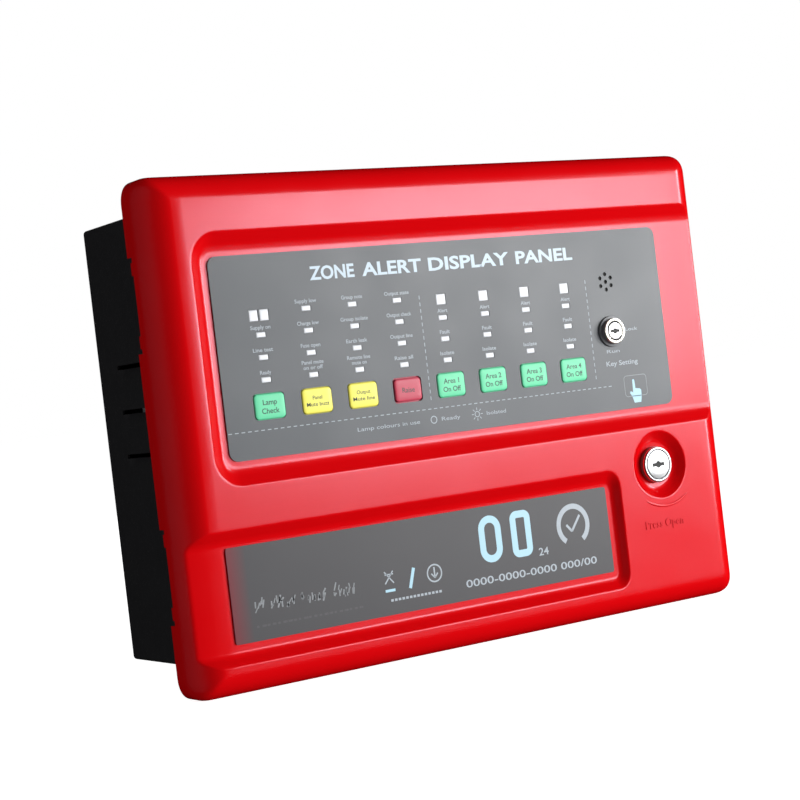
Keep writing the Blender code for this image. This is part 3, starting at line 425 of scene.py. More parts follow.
# Painted red light thrown onto the lower film's left end by the red wall beside it, fading out towards x -146 mm.
painted_light_ramp(DARK_FILM, (0.16, 0.012, 0.022), -158 * MM, -146 * MM)
striped(IRON, (0.07, 0.07, 0.075), "Y", 0.9 * MM, 0.25, relief=0.4)
striped(RIBBON, (0.2, 0.21, 0.23), "Z", 1.27 * MM, 0.2, relief=0.5)


# Front cover


def shoulder(t, drop, power):
    """How far the surface has fallen at t, from 0 on the flat to 1 on the outline."""
    return drop * (1 - (1 - np.minimum(t, 1) ** power) ** (1 / power))


def wall_profile(along, wall):
    """Depth share up a sloping recess wall: 1 on the floor, 0 on the crest, with a fillet at either end."""
    low = wall * FILLET_SHARE
    s = np.clip(along, 0, wall)
    rise = np.where(s < low, s * s / (2 * low), s - low / 2)
    over = np.maximum(s - (wall - CREST_FILLET), 0)
    rise = rise - over * over / (2 * CREST_FILLET)
    return 1 - rise / (wall - low / 2 - CREST_FILLET / 2)


def recess(x, z, limits):
    """Depth of a sunk floor with sloping, filleted walls at (x, z)."""
    left, right, bottom, top, wall_x, wall_bottom, wall_top, corner = limits
    over_x = np.maximum(np.maximum(left + corner - x, x - right + corner), 0)
    above, below = z - top + corner, bottom + corner - z
    over_z = np.maximum(np.maximum(above, below), 0)
    reach = np.hypot(over_x, over_z)
    wall_z = np.where(above > below, wall_top, wall_bottom)
    share = (over_x / np.maximum(reach, 1e-9)) ** 2
    wall = share * wall_x + (1 - share) * wall_z
    out = reach - corner
    share = np.where(out <= 0, 1, np.where(out >= wall, 0, wall_profile(out, wall)))
    run_out = RUN_OUT_BEND * np.maximum(RUN_OUT_X - x, 0) ** 2 if left <= -FAR else 0
    return share * (RECESS_DEEP + run_out)


def deeper(a, b):
    """The greater of two depths, rounded where they meet."""
    soft = np.clip(np.minimum(a, b), 1e-9, MEETING_FILLET)
    share = np.clip(0.5 + 0.5 * (a - b) / soft, 0, 1)
    return a * share + b * (1 - share) + soft * share * (1 - share) * (np.minimum(a, b) > 0)


def cover_lines(low, high, dense, coarse=9 * MM, stations=20):
    """Grid lines across the cover as (place, share down a shoulder); dense spans get lines LINE_GAP apart."""
    ease = [1 - (1 - i / stations) ** 1.6 for i in range(stations + 1)]
    places = {low, high}
    for start, end in dense:
        count = round((end - start) / LINE_GAP)
        places |= {start + (end - start) * i / count for i in range(count + 1)}
    ordered = sorted(p for p in places if low <= p <= high)
    flat = []
    for a, b in zip(ordered, ordered[1:]):
        count = max(1, math.ceil((b - a) / coarse))
        flat += [a + (b - a) * i / count for i in range(count)]
    flat.append(high)
    lines = [(low, -t) for t in reversed(ease[1:])] + [(place_, 0) for place_ in flat]
    return np.array(lines + [(high, t) for t in ease[1:]])


def cover_surface(x_lines, z_lines):
    """Points (x, z, depth) of the outer skin where the grid lines cross."""
    x, z = np.meshgrid(x_lines[:, 0], z_lines[:, 0], indexing="ij")
    tx, tz = np.meshgrid(x_lines[:, 1], z_lines[:, 1], indexing="ij")
    across, up = np.abs(tx), np.abs(tz)
    far = np.maximum(across, up)
    safe = np.maximum(far, 1e-9)
    angle = np.where(across >= up, math.pi / 4 * up / safe, math.pi / 2 - math.pi / 4 * across / safe)
    angle = np.where(far > 0, angle, 0)
    band_x = np.where(tx < 0, LEFT_BAND[0], EDGE_BAND[0])
    square_x, square_z = (np.where(tx < 0, a, b) for a, b in zip(LEFT_CORNER, RIGHT_CORNER))
    x = x + np.sign(tx) * band_x * far * np.abs(np.cos(angle)) ** (2 / square_x)
    z = z + np.sign(tz) * EDGE_BAND[0] * far * np.sin(angle) ** (2 / square_z)
    fall_x = np.where(tx < 0, shoulder(far, *LEFT_BAND[1:]), shoulder(far, *EDGE_BAND[1:]))
    fall = np.cos(angle) ** 2 * fall_x + np.sin(angle) ** 2 * shoulder(far, *EDGE_BAND[1:])
    sunk = recess(x, z, UPPER_RECESS) + recess(x, z, LOWER_RECESS)
    return x, z, deeper(fall, sunk)


def wall_spans(limits):
    """The spans in x and in z that a recess's walls and corners take."""
    left, right, bottom, top, wall_x, wall_bottom, wall_top, corner = limits
    spare = 0.6 * MM
    spans_x = [(left - wall_x - spare, left + corner), (right - corner, right + wall_x + spare)]
    spans_z = [(bottom - wall_bottom - spare, bottom + corner), (top - corner, top + wall_top + spare)]
    return spans_x, spans_z


def cover_shell():
    upper, lower = wall_spans(UPPER_RECESS), wall_spans(LOWER_RECESS)
    x_low, x_high = -HALF_W + LEFT_BAND[0], HALF_W - EDGE_BAND[0]
    z_high = HALF_H - EDGE_BAND[0]
    x_lines = cover_lines(x_low, x_high, [s for s in upper[0] + lower[0] if -HALF_W < s[0] < HALF_W])
    z_lines = cover_lines(-z_high, z_high, upper[1] + lower[1])
    x, z, depth = cover_surface(x_lines, z_lines)
    nx, nz = x.shape
    points = np.stack([x, FRONT + depth, z], -1).reshape(-1, 3)
    index = np.arange(nx * nz).reshape(nx, nz)
    quads = np.stack([index[:-1, :-1], index[1:, :-1], index[1:, 1:], index[:-1, 1:]], -1).reshape(-1, 4)
    rim = np.concatenate([index[:-1, 0], index[-1, :-1], index[:0:-1, -1], index[0, :0:-1]])
    rings, start = [rim], len(points)
    for share in (0.5, 1):
        ring = points[rim].copy()
        ring[:, 1] += (FRONT + COVER_DEEP - ring[:, 1]) * share
        points = np.concatenate([points, ring])
        rings.append(np.arange(start, start + len(rim)))
        start += len(rim)
    for near, rear in zip(rings, rings[1:]):
        quads = np.concatenate([quads, np.stack([near, rear, np.roll(rear, -1), np.roll(near, -1)], -1)])
    mesh = bpy.data.meshes.new("cover_shell")
    mesh.from_pydata(points.tolist(), [], quads.tolist())
    shell = mesh_piece("cover_shell", mesh, RED, None, angle=50)
    thick = shell.modifiers.new("wall", "SOLIDIFY")
    thick.thickness = COVER_WALL
    thick.offset = -1
    return applied(shell)


def dish():
    """The bowl round the lock with a rounded lip and a rounded floor edge."""
    floor = FRONT + DISH_DEEP
    lip = [(DISH_R - 1.6 * MM * math.sin(math.radians(a)), FRONT + 1.6 * MM * (1 - math.cos(math.radians(a))))
           for a in range(0, 46, 9)]
    bowl = [(16.6 * MM, FRONT + 3.1 * MM), (14.8 * MM, FRONT + 4.5 * MM), (13.4 * MM, FRONT + 5.05 * MM)]
    front = lip + bowl + [(DISH_FLOOR_R, floor), (9.5 * MM, floor), (9.5 * MM, floor + COVER_WALL)]
    rear = [(DISH_FLOOR_R + 0.6 * MM, floor + COVER_WALL), (17.5 * MM, FRONT + 6.3 * MM),
            (DISH_R, FRONT + 3.6 * MM), (DISH_R, FRONT)]
    return outward(lathe(LOCK, front + rear[:-1], count=96, closed=True))


def front_cover():
    shell = cover_shell()
    holes = lathe(LOCK, [(DISH_R, FRONT - 4 * MM), (DISH_R, FRONT + 9 * MM)], count=96)
    left, right, bottom, top = WINDOW_CUT
    through = (FRONT + 2 * MM, FRONT + 10 * MM)
    box((left, right), through, (bottom, top), bm=holes)
    lathe(KEYSWITCH, [(7.5 * MM, through[0]), (7.5 * MM, through[1])], bm=holes)
    lathe(SPEAKER, [(7 * MM, through[0]), (7 * MM, through[1])], bm=holes)
    for side in (-1, 1):
        middle = side * HINGE_Z
        box((-186 * MM, -180.2 * MM), (FRONT + COVER_DEEP - NOTCH_DEEP, FRONT + COVER_DEEP + MM),
            (middle - NOTCH_LONG / 2, middle + NOTCH_LONG / 2), bm=holes)
    cut(shell, holes)
    extra = dish()
    for side in (-1, 1):
        middle = side * HINGE_Z
        for start in (middle - 22 * MM, middle + 15.4 * MM):
            hinge_lug(extra, start, start + 6.6 * MM)
    add_shape(shell, extra)
    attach(shell, "cover")
    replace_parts(shell, "front_cover")


def hinge_lug(bm, z0, z1):
    """One moulded ear round a hinge pin, as a closed ring of faces with its bore."""
    outline = [(-181.8, -79.3), (-181.8, -84), (-180.6, -87.2), (-178.8, -89.8), (-177.5, -91.5),
               (-173.5, -91.5),
               (-173.5, -79.3)]
    points = [(x * MM, y * MM) for x, y in outline]
    made = filled(points, [circle(HINGE_X, HINGE_Y, 1.8 * MM, 24)], (z0, z1), "Z")
    mesh = bpy.data.meshes.new("lug")
    made.to_mesh(mesh)
    made.free()
    bm.from_mesh(mesh)
    bpy.data.meshes.remove(mesh)


# Status and lower overlays


def window_places():
    """(x, z, width, height) of every indicator window."""
    places = []
    for column in range(COLUMNS):
        x = FIRST_COLUMN + column * COLUMN_PITCH
        if column == 0:
            places += [(x + side * TWIN_OFFSET, BIG_ROW, *TWIN_WINDOW) for side in (-1, 1)]
        elif column < COLUMNS // 2:
            places.append((x, TOP_ROW, *SMALL_WINDOW))
        else:
            places.append((x, BIG_ROW, *BIG_WINDOW))
        places += [(x, TOP_ROW - row * ROW_PITCH, *SMALL_WINDOW) for row in range(1, ROWS)]
    return places


def status_overlay():
    left, right, bottom, top = STATUS_BOX
    holes = [rounded(x - w / 2, x + w / 2, z - h / 2, z + h / 2, 0.3 * MM, 3) for x, z, w,
             h in window_places()]
    for column in range(COLUMNS):
        x, w, h = FIRST_COLUMN + column * COLUMN_PITCH, KEY_W / 2 + 0.3 * MM, KEY_H / 2 + 0.3 * MM
        holes.append(rounded(x - w, x + w, KEY_Z - h, KEY_Z + h, KEY_CORNER))
    holes += [circle(*KEYSWITCH, 7.5 * MM, 48), circle(*SPEAKER, 1.2 * MM, 20)]
    for i in range(6):
        angle = math.radians(30 + 60 * i)
        holes.append(circle(SPEAKER[0] + 4.5 * MM * math.cos(angle), SPEAKER[1] + 4.5 * MM * math.sin(angle),
                            1.2 * MM, 20))
    sheet = filled(rounded(left, right, bottom, top, 5 * MM, 12), holes, (OVERLAY_FACE, OVERLAY_BACK))
    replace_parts(piece("status_overlay_film", sheet, FILM, "cover"), "status_overlay")
    cloth = lathe(SPEAKER, [(6.8 * MM, OVERLAY_BACK + 0.03 * MM), (6.8 * MM, OVERLAY_BACK + 0.25 * MM)], 48)
    piece("speaker_cloth", outward(cloth), RUBBER, "cover")


def lower_overlay():
    left, right, bottom, top = LOWER_BOX
    sheet = filled(rounded(left, right, bottom, top, 1.5 * MM), [], (OVERLAY_FACE, OVERLAY_BACK))
    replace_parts(piece("lower_overlay_film", sheet, DARK_FILM, "cover"), "lower_overlay")


def light_guide():
    """A frosted plate whose raised, softly domed blocks fill the windows."""
    tips, face, back = OVERLAY_FACE + 0.15 * MM, FRONT + 6.6 * MM, FRONT + 8 * MM
    bm = box((-132 * MM, 91 * MM), (face, back), (20.6 * MM, 64.5 * MM), MM)
    for x, z, w, h in window_places():
        w, h = w / 2 - 0.12 * MM, h / 2 - 0.12 * MM
        rings = []
        for y, inset in ((tips, 0.5 * MM), (tips + 0.05 * MM, 0.2 * MM), (tips + 0.25 * MM, 0), (face, 0)):
            outline = rounded(x - w + inset, x + w - inset, z - h + inset, z + h - inset, 0.25 * MM, 3)
            rings.append([Vector((a, y, b)) for a, b in outline])
        loft(rings, bm=bm)
    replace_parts(piece("light_guide_lens", outward(bm), LENS, "cover"), "led_light_guide")


def key_cap(column):
    """A key with a crowned top and a soft edge, on its own body."""
    name = KEY_NAMES[column]
    x = FIRST_COLUMN + column * COLUMN_PITCH
    smaller = 0.4 * MM if name == "evacuate" else 0
    crown = OVERLAY_FACE - 0.8 * MM
    sections = [(crown, -5 * MM), (crown + 0.02 * MM, -3 * MM), (crown + 0.08 * MM, -1.2 * MM)]
    sections += [(crown + 0.16 * MM, -0.6 * MM), (crown + 0.3 * MM, -0.25 * MM),
                 (crown + 0.5 * MM, -0.06 * MM)]
    sections += [(crown + 0.75 * MM, 0), (FRONT + 4.9 * MM, 0), (FRONT + 4.9 * MM, MM),
                 (FRONT + 5.9 * MM, MM)]
    sections += [(FRONT + 5.9 * MM, -3 * MM), (FRONT + 8.2 * MM, -3 * MM)]
    rings = []
    for y, grow in sections:
        w, h = KEY_W / 2 + grow - smaller, KEY_H / 2 + grow - smaller
        corner = max(0.4 * MM, KEY_CORNER + min(grow, 0) * 0.6)
        rings.append([Vector((a, y, b)) for a, b in rounded(x - w, x + w, KEY_Z - h, KEY_Z + h, corner, 6)])
    paint = {"green_key": GREEN, "yellow_key": YELLOW, "red_key": RED_CAP}[KEY_SLOTS[column]]
    cap = piece("cap_" + name, outward(loft(rings)), paint, "key_" + name)
    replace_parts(cap, "key_" + name)


# Lettering and marks

CAPITAL = 0.73  # height of a capital against the font's size


def add_text(bm, text, x, z, height, width=None, face=INK_FACE, bold=0.0, align="CENTER", thick=0.03 * MM):
    """Draws text whose capitals are height tall, centred on (x, z), squeezed or stretched to the width."""
    curve = bpy.data.curves.new("text", "FONT")
    curve.body = text
    curve.size = 1
    curve.resolution_u = 3
    curve.offset = bold
    part = drawn(curve, lambda a, b, c: (a, 0, b))
    xs = [vert.co.x for vert in part.verts]
    low, wide = min(xs), max(xs) - min(xs)
    tall = height / CAPITAL
    across = width / wide if width else tall
    shift = {"CENTER": -0.5, "LEFT": 0.0, "RIGHT": -1.0}[align] * wide * across
    for vert in part.verts:
        a, _, b = vert.co
        vert.co = (x + shift + (a - low) * across, face, z - height / 2 + b * tall)
    solid(part, thick)
    merge(bm, part)


def solid(bm, thick):
    """Gives flat faces a thickness towards the wall."""
    for face in bm.faces:
        if face.normal.y > 0:
            face.normal_flip()
    made = bmesh.ops.extrude_face_region(bm, geom=bm.faces[:])
    bmesh.ops.translate(bm, verts=[v for v in made["geom"] if isinstance(v, bmesh.types.BMVert)],
                        vec=(0, thick, 0))
    outward(bm)


def merge(bm, part):
    mesh = bpy.data.meshes.new("part")
    part.to_mesh(mesh)
    part.free()
    bm.from_mesh(mesh)
    bpy.data.meshes.remove(mesh)


def bar(bm, x0, x1, z0, z1, face=INK_FACE, corner=0.0):
    """A printed block."""
    box((x0, x1), (face, face + 0.03 * MM), (z0, z1), corner, bm=bm, steps=3)


def ring_mark(bm, x, z, radius, line, start=0, end=360, face=INK_FACE, squash=1.0, count=48):
    """A printed ring, or an arc of one, drawn as a band of short blocks."""
    steps = max(6, round(count * (end - start) / 360))
    inner, outer = [], []
    for i in range(steps + 1):
        angle = math.radians(start + (end - start) * i / steps)
        c, s = math.cos(angle), math.sin(angle)
        inner.append((x + (radius - line / 2) * c * squash, z + (radius - line / 2) * s))
        outer.append((x + (radius + line / 2) * c * squash, z + (radius + line / 2) * s))
    if end - start >= 360:
        part = filled(outer[:-1], [inner[:-1]], (face, face + 0.03 * MM))
    else:
        part = filled(outer + inner[::-1], [], (face, face + 0.03 * MM))
    merge(bm, part)


def stroke(bm, points, line, face=INK_FACE):
    """A printed line of one width through points."""
    for (x0, z0), (x1, z1) in zip(points, points[1:]):
        way = Vector((x1 - x0, z1 - z0)).normalized()
        side = Vector((-way.y, way.x)) * line / 2
        outline = [(x0 + side.x, z0 + side.y), (x0 - side.x, z0 - side.y), (x1 - side.x, z1 - side.y),
                   (x1 + side.x, z1 + side.y)]
        loft([[Vector((a, y, b)) for a, b in outline] for y in (face, face + 0.03 * MM)], bm=bm)


def dashes(bm, start, end, count, line=0.45 * MM):
    """A dashed line with as much gap as dash."""
    a, b = Vector(start), Vector(end)
    for i in range(count):
        p, q = a.lerp(b, i / count), a.lerp(b, (i + 0.55) / count)
        stroke(bm, [tuple(p), tuple(q)], line)


def title():
    bm = bmesh.new()
    words = (("ZONE", -88.6, -60.9), ("ALERT", -56.0, -17.6), ("DISPLAY", -12.9, 41.9), ("PANEL", 46.8, 87.3))
    for word, x0, x1 in words:
        add_text(bm, word, (x0 + x1) / 2 * MM, 78.2 * MM, 7.2 * MM, (x1 - x0) * MM, bold=0.028)
    piece("title_print", bm, BRIGHT_INK, "cover")


LEGEND_STRETCH = 1.32 * MM  # width of a letter in the window legends
LEGENDS = (
    ("", "Supply on", "Line test", "Ready"),
    ("Supply low", "Charge low", "Fuse open", "Panel mute\non or off"),
    ("Group note", "Group isolate", "Earth leak", "Remote line\nmute on"),
    ("Output state", "Output check", "Output line", "Raise all"),
) + (("", "Alert", "Fault", "Isolate"),) * 4


def status_print():
    """Window legends, dashed dividers and the bottom legend."""
    bm = bmesh.new()
    for column, words in enumerate(LEGENDS):
        x = FIRST_COLUMN + column * COLUMN_PITCH
        for row, word in enumerate(words):
            lines = word.split("\n")
            z = TOP_ROW - row * ROW_PITCH + 3.9 * MM
            for i, text in enumerate(reversed(lines)):
                if text:
                    add_text(bm, text, x, z + i * 2.8 * MM, 2.1 * MM, LEGEND_STRETCH * len(text), bold=0.012)
    for x, z0, z1 in ((-21.4, 61.3, 2.4), (94.5, 61.9, 2.6)):
        dashes(bm, (x * MM, z0 * MM), (x * MM, z1 * MM), 16)
    dashes(bm, (-147.4 * MM, -0.8 * MM), (106.9 * MM, -0.8 * MM), 66)
    z = -6.8 * MM
    add_text(bm, "Lamp colours in use", -50.3 * MM, z, 2.2 * MM, 40 * MM)
    ring_mark(bm, -21.1 * MM, z, 1.9 * MM, 0.5 * MM)
    add_text(bm, "Ready", -9.7 * MM, z, 2.2 * MM, 12.4 * MM)
    ring_mark(bm, 8 * MM, z, 1.5 * MM, 0.4 * MM)
    for i in range(8):
        angle = math.radians(45 * i)
        c, s = math.cos(angle), math.sin(angle)
        stroke(bm, [(8 * MM + 2.3 * MM * c, z + 2.3 * MM * s), (8 * MM + 3.7 * MM * c, z + 3.7 * MM * s)],
               0.4 * MM)
    add_text(bm, "Isolated", 21.1 * MM, z, 2.2 * MM, 13.2 * MM)
    add_text(bm, "Lock", 124.9 * MM, 31.4 * MM, 2 * MM, 9.2 * MM)
    add_text(bm, "Run", 109.5 * MM, 19.4 * MM, 2 * MM, 9.6 * MM)
    add_text(bm, "Key Setting", 115.1 * MM, 12.3 * MM, 2.9 * MM, 23.6 * MM, bold=0.008)
    piece("status_print", bm, INK, "cover")


def outline_box(bm, x, z, half_w, half_h, corner, line):
    """A printed rounded frame."""
    outer = rounded(x - half_w, x + half_w, z - half_h, z + half_h, corner)
    inner = rounded(x - half_w + line, x + half_w - line, z - half_h + line, z + half_h - line, corner - line)
    merge(bm, filled(outer, [inner], (INK_FACE, INK_FACE + 0.03 * MM)))


def hand_mark():
    """A pressing finger that reaches up into a thin rounded frame."""
    bm = bmesh.new()
    outline_box(bm, 123.3 * MM, -2.1 * MM, 8.6 * MM, 6.3 * MM, 2.2 * MM, 0.4 * MM)
    piece("hand_frame_print", bm, FAINT_INK, "cover")
    x, z = 122.7 * MM, -5.3 * MM
    outline = [(-1.6, 6.7), (-0.8, 7.1), (-0.1, 6.6), (0.1, 1.6), (3.3, 1.2), (4.3, 0.3), (4.2, -3.4),
               (3.4, -6.8),
               (-1.6, -6.8), (-2.6, -3.6), (-4.3, -0.8), (-3.6, 0.2), (-1.9, -0.8)]
    hand = filled([(x + a * MM, z + b * MM) for a, b in outline], [], (INK_FACE, INK_FACE + 0.03 * MM))
    piece("hand_print", hand, BLUE_INK, "cover")


def lower_print():
    """Plain marks on the lower label: worn lines, small symbols, two bold marks, a tick in a ring."""
    worn = bmesh.new()
    ghost = bmesh.new()
    rng = random.Random(3)
    for i in range(21):
        x = -144 + 3.1 * i
        for _ in range(0 if i % 6 == 2 else 3):
            a, b = x + rng.uniform(0, 1.8), -93 + rng.uniform(0, 4.5)
            across, up = rng.uniform(-0.8, 1.8), rng.uniform(1.4, 4.4)
            stroke(worn, [(a * MM, b * MM), ((a + across) * MM, (b + up) * MM)], rng.uniform(0.5, 1) * MM)
        bar(ghost, x * MM, (x + rng.uniform(1.2, 2.7)) * MM, -100.6 * MM, -99.5 * MM, corner=0.3 * MM)
    piece("worn_print", worn, FAINT_INK, "cover")
    piece("ghost_print", ghost, GHOST_INK, "cover")
    bm = bmesh.new()
    stroke(bm, [(-64.5 * MM, -84 * MM), (-59 * MM, -90.5 * MM)], 0.7 * MM)
    stroke(bm, [(-59 * MM, -84 * MM), (-64.5 * MM, -90.5 * MM)], 0.7 * MM)
    bar(bm, -64.3 * MM, -59 * MM, -86 * MM, -85.3 * MM)
    ring_mark(bm, -32.5 * MM, -89.3 * MM, 4.6 * MM, 0.8 * MM)
    stroke(bm, [(-32.5 * MM, -86 * MM), (-32.5 * MM, -91.6 * MM)], 0.9 * MM)
    stroke(bm, [(-34.6 * MM, -89.4 * MM), (-32.5 * MM, -91.8 * MM), (-30.4 * MM, -89.4 * MM)], 0.8 * MM)
    for i in range(14):
        bar(bm, (-62 + 2.4 * i) * MM, (-60.4 + 2.4 * i) * MM, -100.3 * MM, -99 * MM)
    add_text(bm, "24", 42.5 * MM, -88.2 * MM, 4.4 * MM, 6.8 * MM, bold=0.01)
    add_text(bm, "0000-0000-0000 000/00", 33.4 * MM, -98.4 * MM, 4.3 * MM, 92 * MM, bold=0.008)
    ring_mark(bm, 65.3 * MM, -76.5 * MM, 10.6 * MM, 3 * MM, -55, 235, squash=0.98)
    stroke(bm, [(60.5 * MM, -76 * MM), (64 * MM, -80 * MM), (70.5 * MM, -71.5 * MM)], 1.4 * MM)
    piece("lower_print", bm, INK, "cover")
    bold = bmesh.new()
    bar(bold, -64.8 * MM, -58.6 * MM, -95 * MM, -93.6 * MM)
    stroke(bold, [(-45.6 * MM, -84.4 * MM), (-49 * MM, -95 * MM)], 1.9 * MM)
    for x, half, corner in ((7 * MM, 7.6 * MM, 7.5 * MM), (28.3 * MM, 7 * MM, 4.6 * MM)):
        outline_box(bold, x, -76.3 * MM, half, 13 * MM, corner, 4 * MM)
    piece("lower_bold_print", bold, BLUE_INK, "cover")


def moulded_marks():
    """The raised smile-shaped rib and the raised word under the lock."""
    x, z, radius = LOCK[0] + 1.8 * MM, LOCK[1] + 3 * MM, 27.5 * MM
    path = [(x + radius * math.sin(math.radians(a)),
             z - radius * math.cos(math.radians(a))) for a in range(-34, 42, 4)]
    bm = bmesh.new()
    rings = []
    for i, (px, pz) in enumerate(path):
        ahead, behind = path[min(i + 1, len(path) - 1)], path[max(i - 1, 0)]
        way = Vector((ahead[0] - behind[0], ahead[1] - behind[1])).normalized()
        full = math.sqrt(max(0.05, 1 - (2 * i / (len(path) - 1) - 1) ** 6))
        ring = []
        for a in range(0, 181, 30):
            across = 0.9 * MM * full * math.cos(math.radians(a))
            ring.append(Vector((px - way.y * across,
                                FRONT + 0.1 * MM - 0.58 * MM * full * math.sin(math.radians(a)),
                                pz + way.x * across)))
        rings.append(ring)
    loft(rings, bm=bm)
    word = bmesh.new()
    add_text(word, "Press Open", 130 * MM, -84 * MM, 5 * MM, 29 * MM, face=FRONT - 0.38 * MM, bold=0.014,
             thick=0.6 * MM)
    merge(bm, word)
    piece("moulded_marks", outward(bm), RED, "cover")


KEY_LEGENDS = ("Lamp\nCheck", "Panel\nMute buzz", "Output\nMute line", "Raise", "Area 1\nOn Off",
               "Area 2\nOn Off",
               "Area 3\nOn Off", "Area 4\nOn Off")


def key_legend(column):
    bm = bmesh.new()
    name = KEY_NAMES[column]
    x = FIRST_COLUMN + column * COLUMN_PITCH
    crown = OVERLAY_FACE - 0.82 * MM
    small = name in ("panel_silence", "sounder_silence")
    lines = KEY_LEGENDS[column].split("\n")
    height, pitch = (2.1 * MM, 3.5 * MM) if small else (2.9 * MM, 4.5 * MM)
    for i, text in enumerate(lines):
        z = KEY_Z + pitch * ((len(lines) - 1) / 2 - i)
        widest = 13.6 * MM if len(text) > 7 else None
        add_text(bm, text, x, z, height, widest, face=crown, bold=0.01, thick=0.06 * MM)
    piece("legend_" + name, bm, DARK_INK, "key_" + name)


# Lock and key switch


def keyed_face(name, centre, face, radius, length, width, body, tail, depth=2 * MM):
    """A turned plug with a chamfered face and a keyway cut in it; a near-black block fills the keyway's depth as
    painted shade.
    """
    profile = [(radius - 0.7 * MM, face), (radius - 0.45 * MM, face + 0.06 * MM),
               (radius - 0.15 * MM, face + 0.3 * MM),
               (radius, face + 0.6 * MM)] + tail
    plug = piece(name, outward(lathe(centre, profile, 96)), SATIN, None)
    x, z = centre
    low, high = face + 0.4 * MM, face + depth - 0.05 * MM
    # A near-black block that fills the keyway behind its first 0.4 mm: painted shade of the deep slot.
    dark = box((x - length / 2 + 0.02 * MM, x + length / 2 - 0.02 * MM), (low, high),
               (z - width / 2 + 0.02 * MM, z + width / 2 - 0.02 * MM), 0.1 * MM)
    lathe(centre, [(width * 0.92, low + 0.02 * MM), (width * 0.92, face + depth * 0.88)], 32, bm=dark)
    piece(name + "_keyway", outward(dark), KEYWAY_SHADE, body)
    key = box((x - length / 2, x + length / 2), (face - MM, face + depth), (z - width / 2, z + width / 2))
    cut(plug, key)
    cut(plug, lathe(centre, [(width * 0.95, face - MM), (width * 0.95, face + depth * 0.9)], 32))
    mesh_sharp(plug)
    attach(plug, body)
    return plug


def mesh_sharp(obj, angle=35):
    obj.data.shade_smooth()
    obj.data.set_sharp_from_angle(angle=math.radians(angle))


def cam_lock():
    under, end = FRONT + DISH_DEEP - 0.3 * MM, FRONT + 20 * MM
    f = LOCK_FACE
    bezel = [(9.05 * MM, f + 0.6 * MM), (9.05 * MM, f + 0.2 * MM), (9.2 * MM, f + 0.02 * MM), (9.6 * MM, f),
             (9.95 * MM, f + 0.04 * MM), (10.4 * MM, f + 0.4 * MM), (10.66 * MM, f + 0.8 * MM),
             (10.7 * MM, f + 1.2 * MM)]
    piece("lock_bezel", outward(lathe(LOCK, bezel, 96, closed=True)), SATIN, "cover")
    head = [(9.4 * MM, f + 0.9 * MM), (10.5 * MM, f + 1.1 * MM), (10.75 * MM, f + 1.25 * MM),
            (10.75 * MM, under)]
    shank = []
    for i in range(12):
        y = under + 0.2 * MM + i * (end - under) / 12.5
        shank += [(9.15 * MM, y), (8.85 * MM, y + 0.5 * MM), (9.15 * MM, y + MM)]
    inside = [(6.5 * MM, end), (6.5 * MM, f + 2.7 * MM), (9 * MM, f + 2.7 * MM), (9 * MM, f + 0.5 * MM)]
    body = piece("lock_barrel",
                 outward(lathe(LOCK, head + shank + [(8.9 * MM, end)] + inside, 96, closed=True)),
                 DULL_CHROME, "cover")
    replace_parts(body, "lock_body")
    tail = [(8.7 * MM, f + 2.4 * MM), (6.2 * MM, f + 2.4 * MM), (6.2 * MM, end + 0.5 * MM),
            (4 * MM, end + 0.5 * MM),
            (4 * MM, end + 5.6 * MM), (3.6 * MM, end + 6 * MM)]
    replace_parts(keyed_face("lock_plug_fine", LOCK, f, 8.7 * MM, 9.2 * MM, 2.2 * MM, "lock", tail),
                "lock_plug")


def key_switch():
    face, seat = FRONT - 0.5 * MM, FRONT + 3.4 * MM
    profile = [(6.2 * MM, face + 0.6 * MM), (7.2 * MM, face + 0.62 * MM), (7.5 * MM, face + 0.75 * MM),
               (7.5 * MM, seat - 1.2 * MM),
               (8.8 * MM, seat - 0.95 * MM), (9 * MM, seat - 0.7 * MM), (9 * MM, seat), (7.2 * MM, seat),
               (7.2 * MM, FRONT + 29.6 * MM), (6.9 * MM, FRONT + 30 * MM), (5.6 * MM, FRONT + 30 * MM),
               (5.6 * MM, face + 0.6 * MM)]
    body = piece("keyswitch_barrel", outward(lathe(KEYSWITCH, profile, 96, closed=True)), DULL_CHROME,
                 "cover")
    rim = [(5.75 * MM, face + 0.3 * MM), (5.8 * MM, face + 0.12 * MM), (6.2 * MM, face + 0.01 * MM),
           (6.9 * MM, face),
           (7.3 * MM, face + 0.13 * MM), (7.48 * MM, face + 0.48 * MM), (7.4 * MM, face + 0.7 * MM),
           (6.4 * MM, face + 0.5 * MM)]
    piece("keyswitch_bezel", outward(lathe(KEYSWITCH, rim, 96, closed=True)), BRASSY, "cover")
    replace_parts(body, "keyswitch_body")
    plug = keyed_face("keyswitch_plug_fine", KEYSWITCH, face, 5.3 * MM, 7 * MM, 1.8 * MM, "keyswitch",
                      [(5.3 * MM, FRONT + 24 * MM)], 1.6 * MM)
    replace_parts(plug, "keyswitch_plug")


# Back box


